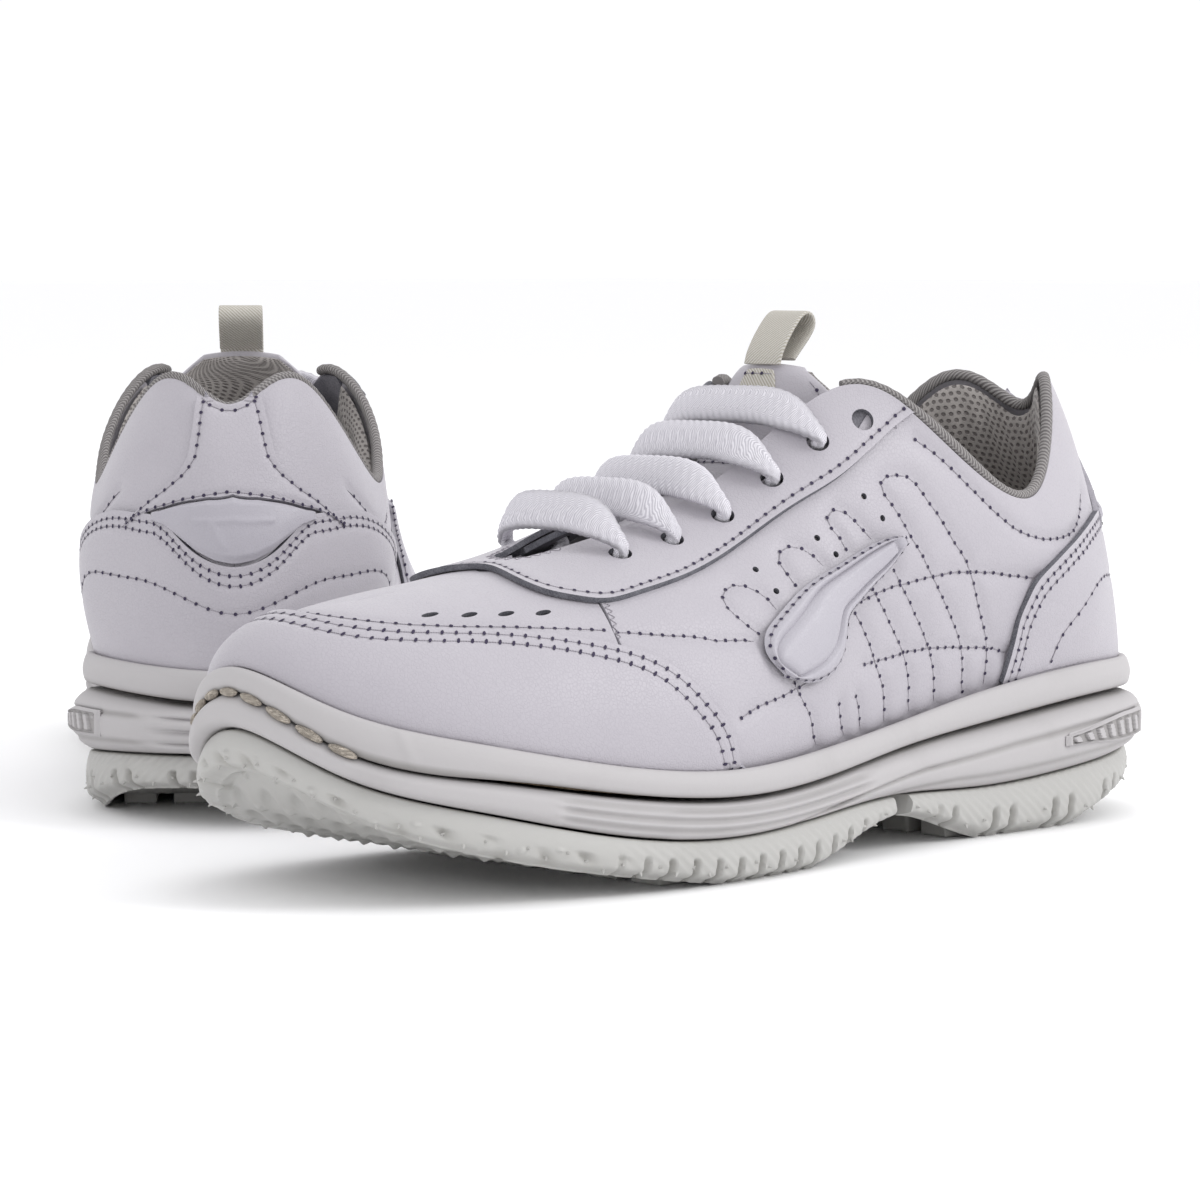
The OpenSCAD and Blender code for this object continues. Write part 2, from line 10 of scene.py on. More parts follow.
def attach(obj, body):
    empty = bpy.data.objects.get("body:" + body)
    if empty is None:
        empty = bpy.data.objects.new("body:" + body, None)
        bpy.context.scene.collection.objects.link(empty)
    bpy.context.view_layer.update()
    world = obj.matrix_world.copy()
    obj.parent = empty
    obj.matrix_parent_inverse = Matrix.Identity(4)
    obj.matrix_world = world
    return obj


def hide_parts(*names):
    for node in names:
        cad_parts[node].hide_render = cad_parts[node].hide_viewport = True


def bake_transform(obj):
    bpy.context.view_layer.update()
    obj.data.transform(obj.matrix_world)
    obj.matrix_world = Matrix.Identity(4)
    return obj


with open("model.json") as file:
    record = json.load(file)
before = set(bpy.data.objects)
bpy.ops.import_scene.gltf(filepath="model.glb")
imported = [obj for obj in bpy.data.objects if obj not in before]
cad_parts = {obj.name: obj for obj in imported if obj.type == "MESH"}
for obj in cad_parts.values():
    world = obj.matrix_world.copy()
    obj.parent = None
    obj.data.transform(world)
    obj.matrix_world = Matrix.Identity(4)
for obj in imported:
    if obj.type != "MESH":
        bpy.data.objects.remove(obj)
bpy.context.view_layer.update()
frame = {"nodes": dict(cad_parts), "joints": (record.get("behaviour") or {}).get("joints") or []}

print("frame loaded:", len(frame["nodes"]), "nodes")

# Camera, lights and floor: places and sizes in metres, angles in degrees, light in watts
view = {
    "target": (0.1137, -0.01615, 0.0557),
    "azimuth": 45.4,
    "elevation": 4.4,
    "distance": 1.0,
    "lens": 133.29,
}
light = {
    "sky": 1.04,
    "key": {"place": (1.7, 1.1, 1.3), "size": 1.0, "watts": 19},
    "fill": {"place": (1.2, -1.5, 1.1), "size": 1.4, "watts": 1.5},
    "top": {"place": (0.2, 0.3, 1.9), "size": 1.2, "watts": 5},
    "back": {"place": (-1.3, 1.3, 1.2), "size": 1.2, "watts": 2},
}
floor = {"span": 40.0, "colour": (0.97, 0.97, 0.972, 1)}


def deselect():
    for thing in bpy.context.selected_objects:
        thing.select_set(False)


def makeCamera():
    turn = math.radians(view["azimuth"])
    lift = math.radians(view["elevation"])
    away = Vector((math.sin(turn) * math.cos(lift), -math.cos(turn) * math.cos(lift), math.sin(lift)))
    place = Vector(view["target"]) + away * view["distance"]
    bpy.ops.object.camera_add(location=place, rotation=away.to_track_quat("Z", "Y").to_euler())
    camera = bpy.context.active_object
    camera.data.lens = view["lens"]
    camera.data.sensor_width = 36
    camera.data.clip_start = 0.02
    camera.data.clip_end = 200
    bpy.context.scene.camera = camera


def makeLights():
    world = bpy.data.worlds.new("studio")
    world.use_nodes = True
    sky = world.node_tree.nodes["Background"]
    sky.inputs["Color"].default_value = (0.985, 0.985, 1.0, 1)
    sky.inputs["Strength"].default_value = light["sky"]
    bpy.context.scene.world = world
    for name in ("key", "fill", "top", "back"):
        what = light[name]
        aim = Vector((0.02, 0.0, 0.05)) - Vector(what["place"])
        turn = aim.to_track_quat("-Z", "Y").to_euler()
        bpy.ops.object.light_add(type="AREA", location=what["place"], rotation=turn)
        lamp = bpy.context.active_object
        lamp.name = name + "Lamp"
        lamp.data.shape = "DISK"
        lamp.data.size = what["size"]
        lamp.data.energy = what["watts"]
    bpy.context.scene.view_settings.view_transform = "Standard"
    bpy.context.scene.view_settings.look = "None"


# A wrapped socket, so that shader sums read as expressions
class Shade:
    def __init__(self, tree, socket=None):
        self.tree = tree
        self.socket = socket

    def make(self, kind, settings, values, output=0):
        node = self.tree.nodes.new("ShaderNode" + kind)
        for key, value in settings.items():
            if key == "stops":
                ramp = node.color_ramp
                ramp.elements.remove(ramp.elements[1])
                ramp.elements[0].position = value[0][0]
                ramp.elements[0].color = value[0][1]
                for place, colour in value[1:]:
                    ramp.elements.new(place).color = colour
            else:
                setattr(node, key, value)
        for key, value in values.items():
            if isinstance(value, Shade):
                self.tree.links.new(value.socket, node.inputs[key])
            else:
                node.inputs[key].default_value = value
        return Shade(self.tree, node.outputs[output])

    def maths(self, operation, first, second=0.0, third=0.0):
        return self.make("Math", {"operation": operation}, {0: first, 1: second, 2: third})

    def __add__(self, other):
        return self.maths("ADD", self, other)

    def __radd__(self, other):
        return self.maths("ADD", other, self)

    def __sub__(self, other):
        return self.maths("SUBTRACT", self, other)

    def __rsub__(self, other):
        return self.maths("SUBTRACT", other, self)

    def __mul__(self, other):
        return self.maths("MULTIPLY", self, other)

    def __rmul__(self, other):
        return self.maths("MULTIPLY", other, self)

    def __pow__(self, other):
        return self.maths("POWER", self, other)

    def between(self, low, high, start=0.0, end=1.0):
        settings = {"interpolation_type": "SMOOTHSTEP"}
        values = {"Value": self, "From Min": low, "From Max": high, "To Min": start, "To Max": end}
        return self.make("MapRange", settings, values)

    def tint(self, low, high):
        return self.make("Mix", {"data_type": "RGBA"}, {0: self, 6: low, 7: high}, 2)

    def noise(self, where, scale, detail=3.0):
        return self.make("TexNoise", {}, {"Vector": where, "Scale": scale, "Detail": detail})

    def cells(self, where, scale, feature="F1"):
        settings = {"feature": feature}
        return self.make("TexVoronoi", settings, {"Vector": where, "Scale": scale})

    def spread(self, name):
        return self.make("Attribute", {"attribute_name": name}, {}, 2)

    def part(self, index):
        return self.make("SeparateXYZ", {}, {0: self}, index)


def newFinish(name, **constants):
    material = bpy.data.materials.new(name)
    material.use_nodes = True
    shader = material.node_tree.nodes["Principled BSDF"]
    for key, value in constants.items():
        shader.inputs[key.replace("_", " ")].default_value = value
    start = Shade(material.node_tree)
    start.solid = start.make("TexCoord", {}, {}, 3)
    start.flat = start.make("TexCoord", {}, {}, 2)

    def wear(**links):
        for key, wire in links.items():
            start.tree.links.new(wire.socket, shader.inputs[key.replace("_", " ")])
    start.wear = wear
    start.bump = lambda height, distance, strength=1.0: start.make(
        "Bump", {}, {"Strength": strength, "Distance": distance, "Height": height})
    start.material = material
    return start


# Each finish: main colour, its second colour, roughness, size and depth of its grain
finishes = {
    "leather": {"light": (0.425, 0.405, 0.44, 1), "dark": (0.37, 0.35, 0.387, 1), "rough": 0.42,
                "grain": 1150, "depth": 0.00006},
    "emblem": {"light": (0.40, 0.385, 0.425, 1), "dark": (0.34, 0.325, 0.365, 1), "rough": 0.36,
               "grain": 1500, "depth": 0.00004},
    "facing": {"light": (0.26, 0.255, 0.28, 1), "dark": (0.15, 0.145, 0.165, 1), "rough": 0.8,
               "grain": 2200, "depth": 0.00008},
    "rawEdge": {"light": (0.19, 0.19, 0.21, 1), "dark": (0.085, 0.085, 0.10, 1), "rough": 0.95,
                "grain": 3000, "depth": 0.00012},
    "foldedEdge": {"light": (0.40, 0.385, 0.42, 1), "dark": (0.29, 0.28, 0.31, 1), "rough": 0.85,
                   "grain": 2600, "depth": 0.00008},
    # for soleRubber and treadRubber the dark colour is painted shade in the hollows, mixed with some grime
    "soleRubber": {"light": (0.435, 0.42, 0.425, 1), "dark": (0.20, 0.19, 0.18, 1), "rough": 0.5,
                   "grain": 900, "depth": 0.00005},
    "treadRubber": {"light": (0.43, 0.425, 0.41, 1), "dark": (0.22, 0.21, 0.18, 1), "rough": 0.46,
                    "grain": 700, "depth": 0.00007},
    "mesh": {"light": (0.36, 0.335, 0.32, 1), "dark": (0.16, 0.145, 0.14, 1), "rough": 0.9,
             "pitch": 0.0019, "depth": 0.00035},
    "binding": {"light": (0.30, 0.285, 0.28, 1), "dark": (0.15, 0.14, 0.14, 1), "rough": 0.85,
                "pitch": 0.0011, "depth": 0.0002},
    "webbing": {"light": (0.56, 0.54, 0.51, 1), "dark": (0.40, 0.375, 0.31, 1), "rough": 0.7,
                "pitch": 0.0009, "depth": 0.0001},
    "knit": {"light": (0.72, 0.705, 0.745, 1), "dark": (0.50, 0.485, 0.53, 1), "rough": 0.8,
             "pitch": 0.0006, "depth": 0.00004},
    "cord": {"light": (0.76, 0.69, 0.60, 1), "dark": (0.52, 0.45, 0.37, 1), "rough": 0.8,
             "pitch": 0.0007, "depth": 0.0001},
    "thread": {"light": (0.33, 0.31, 0.345, 1), "dark": (0.23, 0.215, 0.24, 1), "rough": 0.6,
               "pitch": 0.0005, "depth": 0.00005},
    # painted shade: needle holes are flat discs coloured with the dark of the hole
    "needleHole": {"light": (0.06, 0.05, 0.085, 1), "dark": (0.03, 0.025, 0.05, 1), "rough": 0.9,
                   "grain": 2000, "depth": 0.00005},
    "fibreBoard": {"light": (0.45, 0.36, 0.25, 1), "dark": (0.24, 0.18, 0.12, 1), "rough": 0.9,
                   "grain": 900, "depth": 0.0001},
    "sockFoam": {"light": (0.40, 0.38, 0.365, 1), "dark": (0.26, 0.245, 0.235, 1), "rough": 0.95,
                 "grain": 1300, "depth": 0.00012},
}


def leatherFinish(name):
    look = finishes[name]
    start = newFinish(name, Specular_IOR_Level=0.45, Sheen_Weight=0.12, Coat_Roughness=0.35)
    cloud = start.noise(start.solid, 38, 4)
    pores = start.cells(start.solid, look["grain"], "DISTANCE_TO_EDGE")
    folds = start.noise(start.solid, 260, 6)
    skin = pores.between(0.0, 0.12)
    shadeOf = cloud.between(0.3, 0.7) * 0.32 + (1 - skin) * 0.30
    start.wear(
        Base_Color=shadeOf.tint(look["light"], look["dark"]),
        Roughness=look["rough"] + cloud * 0.10 + (1 - skin) * 0.12,
        Normal=start.bump(skin * 0.5 + folds * 1.4, look["depth"]),
    )
    return start.material


def fuzzyFinish(name):
    look = finishes[name]
    start = newFinish(name, Specular_IOR_Level=0.2)
    fibres = start.noise(start.solid, look["grain"], 5)
    patch = start.noise(start.solid, look["grain"] * 0.12, 3)
    mixOf = fibres.between(0.35, 0.65) * 0.6 + patch.between(0.3, 0.7) * 0.4
    start.wear(
        Base_Color=mixOf.tint(look["light"], look["dark"]),
        Roughness=look["rough"] - fibres * 0.08,
        Normal=start.bump(fibres, look["depth"]),
    )
    return start.material


def rubberFinish(name):
    look = finishes[name]
    start = newFinish(name, Specular_IOR_Level=0.4)
    hollow = start.spread("hollow")
    speck = start.noise(start.solid, look["grain"], 4)
    smear = start.noise(start.solid, 45, 5)
    # painted shade: the base colour darkens where the hollow attribute marks grooves, notches and joins;
    # random smears add real grime on top
    hollowShadeAndGrime = hollow * (0.35 + smear * 0.6) + smear.between(0.56, 0.75) * 0.10
    start.wear(
        Base_Color=hollowShadeAndGrime.maths("MINIMUM", hollowShadeAndGrime, 1.0).tint(look["light"], look["dark"]),
        Roughness=look["rough"] + smear * 0.12 + speck * 0.1,
        Normal=start.bump(speck + smear * 0.5, look["depth"]),
    )
    return start.material


def meshFinish(name):
    look = finishes[name]
    start = newFinish(name, Specular_IOR_Level=0.15, Sheen_Weight=0.2)
    across = start.flat.part(0) * (1 / look["pitch"])
    along = start.flat.part(1) * (1 / (look["pitch"] * 0.866))
    odd = across.maths("MODULO", along.maths("FLOOR", along), 2.0)
    odd = odd.maths("ABSOLUTE", odd)
    x = across + odd * 0.5
    x = x.maths("FRACT", x) - 0.5
    y = along.maths("FRACT", along) - 0.5
    away = x.maths("SQRT", x * x + y * y)
    yarn = away.between(0.2, 0.36)
    knit = start.noise(start.solid, 2600, 3)
    start.wear(
        Base_Color=(yarn * (0.75 + knit * 0.5)).tint(look["dark"], look["light"]),
        Roughness=look["rough"] - yarn * 0.08,
        Normal=start.bump(yarn + knit * 0.3, look["depth"]),
    )
    return start.material


def twillFinish(name, lean=1.0):
    look = finishes[name]
    start = newFinish(name, Specular_IOR_Level=0.25)
    u = start.flat.part(0) * (1 / look["pitch"])
    v = start.flat.part(1) * (1 / look["pitch"])
    slope = (u + v * lean) * (2 * math.pi)
    wave = slope.maths("SINE", slope) * 0.5 + 0.5
    knit = start.noise(start.solid, 1800, 4)
    ridge = wave.between(0.1, 0.8)
    start.wear(
        Base_Color=(ridge * (0.55 + knit * 0.9)).tint(look["dark"], look["light"]),
        Roughness=look["rough"] - ridge * 0.1,
        Normal=start.bump(ridge + knit * 0.4, look["depth"]),
    )
    return start.material


def makeFinishes():
    made = {}
    for name in ("leather", "emblem"):
        made[name] = leatherFinish(name)
    for name in ("facing", "rawEdge", "foldedEdge", "needleHole", "fibreBoard", "sockFoam"):
        made[name] = fuzzyFinish(name)
    for name in ("soleRubber", "treadRubber"):
        made[name] = rubberFinish(name)
    made["mesh"] = meshFinish("mesh")
    for name, lean in (("binding", 1.0), ("webbing", 1.0), ("knit", 0.6), ("cord", 0.5), ("thread", 0.5)):
        made[name] = twillFinish(name, lean)
    return made


# The shoe's form in mm. Stations run round it: 0 at the toe tip, 10 at the heel, minus on the medial side.
# The outline and the top edge have a point at each of 20 stations, the heights one at each of 0 to 10.
form = {
    "outline": [
        (-6, -135), (20, -127), (38, -104), (47, -74), (49.5, -42), (46, -10), (40, 22),
        (37.5, 54), (37.5, 86), (28.5, 114.5), (2, 133.5), (-26, 115.5), (-36, 88), (-34.5, 56),
        (-33, 24), (-37, -8), (-43, -40), (-46, -72), (-42, -103), (-28, -126)],
    "feather": [49, 41, 34, 28, 24.8, 26.5, 29.7, 34.5, 38, 38, 37],
    "groove": [44, 33, 26.5, 21.5, 18.3, 19.5, 23.2, 26.3, 29.6, 30, 28.6],
    "padTop": [36, 27, 19.5, 13, 10, 11.5, 13, 12, 14, 16, 17],
    "tread": [27, 19, 10.5, 4.5, 0, 0, 8, 0, 0, 7, 9],
    "flare": [1.5, 1, 0.5, 0.5, 0.5, 0.5, 1, 2, 2.8, 3, 3],
    "foot": [0, -3, -5, -6, -6, -8, -10, -11, -11, -6, -4],
    "swell": [0, 0, 0, 0, 0, 0, 1.5, 4, 3, -2.5, -2],
    "edge": [88, 86, 84, 80, 68, 60, 48, 34, 24, 36, 34],
    "top": [
        (-3, -101, 61), (-2, -93, 62.3), (-1, -78, 64.5), (4, -58, 67.2), (9, -38, 72.3), (12, -9, 83),
        (20.5, 20, 103), (33, 40, 92.5), (34, 73, 78), (17, 98.5, 103), (0, 109.5, 97),
        (-17, 98.5, 103), (-33, 74, 78), (-31, 42, 92.5), (-19.5, 21, 103), (-13, -9, 83),
        (-10.5, -38, 72.3), (-6, -58, 67.2), (-1, -78, 64.5), (-2, -93, 62.3)],
    "featherInset": 4.0,
    "skirtInset": 6.5,
    "skirtLift": 2.6,
}


def closedSpline(values):
    knots = np.array(values, float)
    count = len(knots)
    one = np.eye(count)
    band = 4 * one + np.roll(one, 1, 0) + np.roll(one, -1, 0)
    bend = np.linalg.solve(band, 6 * (np.roll(knots, -1, 0) - 2 * knots + np.roll(knots, 1, 0)))

    def at(s):
        q = np.mod(np.asarray(s, float), count)
        i = np.floor(q).astype(int) % count
        j = (i + 1) % count
        u = q - np.floor(q)
        if knots.ndim > 1:
            u = u[..., None]
        w = 1 - u
        return w * knots[i] + u * knots[j] - u * w * ((1 + w) * bend[i] + (1 + u) * bend[j]) / 6
    return at


def openSpline(values):
    knots = np.array(values, float)
    count = len(knots)
    band = 4 * np.eye(count) + np.eye(count, k=1) + np.eye(count, k=-1)
    band[0] = np.eye(count)[0]
    band[-1] = np.eye(count)[-1]
    pull = np.zeros_like(knots)
    pull[1:-1] = 6 * (knots[2:] - 2 * knots[1:-1] + knots[:-2])
    bend = np.linalg.solve(band, pull)

    def at(s):
        s = np.asarray(s, float)
        i = np.clip(np.floor(s).astype(int), 0, count - 2)
        u = s - i
        if knots.ndim > 1:
            u = u[..., None]
        w = 1 - u
        return w * knots[i] + u * knots[i + 1] - u * w * ((1 + w) * bend[i] + (1 + u) * bend[i + 1]) / 6
    return at


def bothSides(values):
    return closedSpline(list(values) + list(values[-2:0:-1]))


outlineAt = closedSpline(form["outline"])
topAt = closedSpline(form["top"])
profiles = ("feather", "groove", "padTop", "tread", "flare", "foot", "edge", "swell")
heightAt = {key: bothSides(form[key]) for key in profiles}


def unit(v):
    return v / np.maximum(np.linalg.norm(v, axis=-1, keepdims=True), 1e-9)


def smooth(x, low=0.0, high=1.0):
    u = np.clip((np.asarray(x, float) - low) / (high - low), 0, 1)
    return u * u * (3 - 2 * u)


def outwardAt(s):
    d = unit(outlineAt(np.asarray(s) + 0.01) - outlineAt(np.asarray(s) - 0.01))
    return np.stack([d[..., 1], -d[..., 0], 0 * d[..., 0]], -1)


def edgePoint(s, push, z):
    p = outlineAt(s)
    n = outwardAt(s)
    flat = p + n[..., :2] * np.asarray(push)[..., None]
    return np.concatenate([flat, (z + 0 * flat[..., 0])[..., None]], -1)


def fromToe(s):
    q = np.mod(s, 20)
    return np.minimum(q, 20 - q)


def ridgeAt(s):
    apart = smooth(fromToe(s), 2.0, 2.5)[..., None]
    return (1 - apart) * (topAt(s) + topAt(-s)) / 2 + apart * topAt(s)


def ribPoint(s, t):
    # each rib bends from the angle at its foot to the angle at its edge
    s = np.asarray(s, float)
    foot = edgePoint(s, np.full_like(s, -form["featherInset"]), heightAt["feather"](s))
    top = ridgeAt(s)
    a0 = np.radians(heightAt["foot"](s))
    a1 = np.radians(heightAt["edge"](s))
    a = a0 + (a1 - a0) * t
    inwards = (np.cos(a0) - np.cos(a)) / (np.cos(a0) - np.cos(a1))
    upwards = (np.sin(a) - np.sin(a0)) / (np.sin(a1) - np.sin(a0))
    share = np.stack([inwards, inwards, upwards], -1)
    puffed = heightAt["swell"](s) * np.sin(np.pi * np.clip(t, 0, 1))
    return foot + (top - foot) * share + outwardAt(s) * puffed[..., None]


def ribNormal(s, t):
    across = ribPoint(s + 0.02, t) - ribPoint(s - 0.02, t)
    up = ribPoint(s, t + 0.01) - ribPoint(s, t - 0.01)
    return unit(np.cross(across, up))


def onUpper(s, t, h=0.0):
    # share 0 to 1 climbs from the sole's rim to the top edge, 0 to -1 goes down inside the rim
    s = np.asarray(s, float) + 0 * np.asarray(t, float)
    t = np.asarray(t, float) + 0 * s
    up = np.maximum(t, 0)
    high = ribPoint(s, up) + ribNormal(s, up) * h
    foot = ribPoint(s, 0 * t)
    skirt = edgePoint(s, np.full_like(s, -form["skirtInset"]), heightAt["groove"](s) + form["skirtLift"])
    low = foot + (skirt - foot) * np.maximum(-t, 0)[..., None] + outwardAt(s) * h
    return np.where((t >= 0)[..., None], high, low)


def lengths(points):
    steps = np.linalg.norm(np.diff(points, axis=0), axis=1)
    return np.concatenate([[0], np.cumsum(steps)])


def resample(points, count):
    run = lengths(points)
    at = np.linspace(0, run[-1], count)
    return np.stack([np.interp(at, run, points[:, k]) for k in range(points.shape[1])], 1)


def placesAlong(line, count):
    dense = openSpline(line)(np.linspace(0, len(line) - 1, 40 * len(line)))
    space = onUpper(dense[:, 0], dense[:, 1])
    run = lengths(space)
    at = np.linspace(0, run[-1], count)
    return np.stack([np.interp(at, run, dense[:, k]) for k in range(2)], 1)


def curveOnUpper(line, h=0.0):
    dense = placesAlong(line, 400)
    points = onUpper(dense[:, 0], dense[:, 1], h)
    return resample(points, max(3, int(lengths(points)[-1] / 0.8)))


def loft(first, second, along, across):
    a = placesAlong(first, along)
    b = placesAlong(second, along)
    share = np.linspace(0, 1, across)[:, None, None]
    return a * (1 - share) + b * share


def mirrored(line):
    return [(-s, t) for s, t in line]


def gridNormals(points):
    across = np.gradient(points, axis=1)
    along = np.gradient(points, axis=0)
    return unit(np.cross(across, along))


def orient(points):
    # normals that point away from the middle of the shoe
    n = gridNormals(points)
    middle = np.stack([0 * points[..., 0], points[..., 1], 0 * points[..., 0] + 38], -1)
    return n if (n * (points - middle)).sum() > 0 else -n


def gridPiece(name, points, finish, extra=(), flips=True):
    if flips and (gridNormals(points) * orient(points)).sum() < 0:
        points = points[:, ::-1]
    rows, columns = points.shape[:2]
    deselect()
    bpy.ops.mesh.primitive_grid_add(x_subdivisions=columns - 1, y_subdivisions=rows - 1, size=1)
    piece = bpy.context.active_object
    piece.name = name
    mesh = piece.data
    mesh.vertices.foreach_set("co", (points * 0.001).ravel())
    u = np.zeros((rows, columns))
    v = np.zeros((rows, columns))
    u[:, 1:] = np.cumsum(np.linalg.norm(np.diff(points, axis=1), axis=2), axis=1)
    v[1:] = np.cumsum(np.linalg.norm(np.diff(points, axis=0), axis=2), axis=0)
    u -= u[:, columns // 2:columns // 2 + 1]
    index = np.zeros(len(mesh.loops), np.int32)
    mesh.loops.foreach_get("vertex_index", index)
    places = np.stack([u.ravel(), v.ravel()], 1)[index] * 0.001
    mesh.uv_layers.active.data.foreach_set("uv", places.ravel())
    for each in (finish, *extra):
        mesh.materials.append(finishOf[each])
    mesh.update()
    return piece


def pick(piece):
    deselect()
    piece.select_set(True)
    bpy.context.view_layer.objects.active = piece


def work(piece, kind, **settings):
    pick(piece)
    modifier = piece.modifiers.new(kind.title(), kind)
    for key, value in settings.items():
        setattr(modifier, key, value)
    bpy.ops.object.modifier_apply(modifier=modifier.name)


def edit(piece, *operators, select="SELECT"):
    pick(piece)
    bpy.ops.object.mode_set(mode="EDIT")
    bpy.ops.mesh.select_all(action=select)
    for operator, settings in operators:
        operator(**settings)
    bpy.ops.object.mode_set(mode="OBJECT")


def faceOutwards(piece):
    edit(piece, (bpy.ops.mesh.normals_make_consistent, {"inside": False}))


def weld(piece, distance=0.00004):
    edit(piece, (bpy.ops.mesh.remove_doubles, {"threshold": distance}))


def capEnds(piece):
    openEdges = {"extend": False, "use_wire": False, "use_multi_face": False, "use_non_contiguous": False,
                 "use_verts": False}
    edit(piece, (bpy.ops.mesh.select_mode, {"type": "EDGE"}),
         (bpy.ops.mesh.select_non_manifold, openEdges), (bpy.ops.mesh.fill, {}), select="DESELECT")
    faceOutwards(piece)


def joinAll(parts, name):
    pick(parts[0])
    for piece in parts:
        piece.select_set(True)
    bpy.ops.object.join()
    parts[0].name = name
    return parts[0]


def rounded(piece, angle=40):
    pick(piece)
    bpy.ops.object.shade_smooth_by_angle(angle=math.radians(angle))


def thicken(piece, thickness, bevel=0.28, rim=0):
    work(piece, "SOLIDIFY", thickness=thickness * 0.001, offset=-1, material_offset_rim=rim)
    if bevel:
        sharp = math.radians(55)
        work(piece, "BEVEL", width=bevel * 0.001, segments=2, limit_method="ANGLE", angle_limit=sharp)
    rounded(piece, 50)


def sidePlace(side):
    # where each shoe stands, read from the hinge of its tongue
    hinge = {j["name"]: j for j in frame["joints"]}[side + "_tongue_hinge"]
    turn = math.atan2(hinge["axis"][1], hinge["axis"][0])
    place = Matrix.Rotation(turn, 4, "Z")
    if side == "right":
        place = place @ Matrix.Scale(-1, 4, (1, 0, 0))
    place.translation = Vector(hinge["pos_m"]) - place.to_3x3() @ Vector((0, -0.063, 0.0575))
    return place


def putOnBoth(piece, body="shoe", nodes=()):
    for side in ("left", "right"):
        copy = bpy.data.objects.new(side + "_" + piece.name, piece.data.copy())
        bpy.context.scene.collection.objects.link(copy)
        place = sidePlace(side)
        copy.data.transform(place)
        if side == "right":
            copy.data.flip_normals()
        copy.data.update()
        if nodes:
            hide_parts(*[side + "_" + node for node in nodes])
        if body == "loop":
            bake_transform(copy)
        else:
            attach(copy, side + "_" + body)
    bpy.data.objects.remove(piece)


# Stitches, sizes in mm
sewn = {"thread": [], "hole": []}
sewing = {"pitch": 2.85, "thick": 0.13, "hole": 0.46, "slit": 0.75, "dip": 0.32, "reach": 1.3}


def surfaceOf(piece):
    mesh = piece.data
    corners = [v.co.copy() for v in mesh.vertices]
    faces = [tuple(p.vertices) for p in mesh.polygons]
    return BVHTree.FromPolygons(corners, faces)


def addStitch(surface, a, b, thick, slit=0.0):
    # a needle hole, drawn as a disc of painted shade, is a dot, or a short slit that leans across the row, or
    # left out for None
    p, n, *_ = surface.find_nearest(Vector(a * 0.001))
    q, m, *_ = surface.find_nearest(Vector(b * 0.001))
    if (p - q).length < 0.0004:
        return
    ahead = (q - p).normalized()
    sewn["thread"].append((p, q, (n + m).normalized(), thick * 0.001))
    if slit:
        lean = (n.cross(ahead) + ahead * 0.35).normalized()
        sewn["hole"].append((p, n, lean, slit, 0.36))
    elif slit is not None:
        sewn["hole"].append((p, n, ahead, sewing["hole"], sewing["hole"]))


def sew(surface, line, pitch=sewing["pitch"], slit=0.0):
    run = lengths(line)
    at = np.linspace(0.3, run[-1] - 0.3, max(int(run[-1] / pitch), 1) + 1)
    ends = np.stack([np.interp(at, run, line[:, k]) for k in range(3)], 1)
    for a, b in zip(ends[:-1], ends[1:]):
        addStitch(surface, a, b, sewing["thick"], slit)


def zigzag(surface, line, width, pitch):
    run = lengths(line)
    ends = []
    for k in range(int(run[-1] / pitch) + 1):
        place = min(k * pitch, run[-1] - 0.1)
        p, q = (np.array([np.interp(at, run, line[:, j]) for j in range(3)]) for at in (place, place + 0.1))
        n = np.array(surface.find_nearest(Vector(p * 0.001))[1])
        ends.append(p + np.cross(n, unit(q - p)) * (width / 2 if k % 2 else -width / 2))
    for a, b in zip(ends[:-1], ends[1:]):
        addStitch(surface, a, b, 0.14, None)


def pressIn(points, rows, dip=sewing["dip"], reach=sewing["reach"], swell=0.0, normals=None):
    # the leather sinks along its rows of stitches and swells between them
    marks = np.concatenate(rows)
    tree = KDTree(len(marks))
    for k, mark in enumerate(marks):
        tree.insert(mark, k)
    tree.balance()
    away = np.array([tree.find(p)[2] for p in points.reshape(-1, 3)]).reshape(points.shape[:2] + (1,))
    between = swell * (1 - np.exp(-(away / 4.5) ** 2))
    normals = orient(points) if normals is None else normals
    return points + normals * (between - (dip + swell) * np.exp(-(away / reach) ** 2))


def insetLine(points, distance, fromStart=True):
    grid = points if fromStart else points[::-1]
    line = []
    for k in range(grid.shape[1]):
        run = lengths(grid[:, k])
        if run[-1] > distance * 1.2:
            line.append([np.interp(distance, run, grid[:, k, j]) for j in range(3)])
    line = np.array(line)
    return resample(line, max(3, int(lengths(line)[-1] / 0.7)))


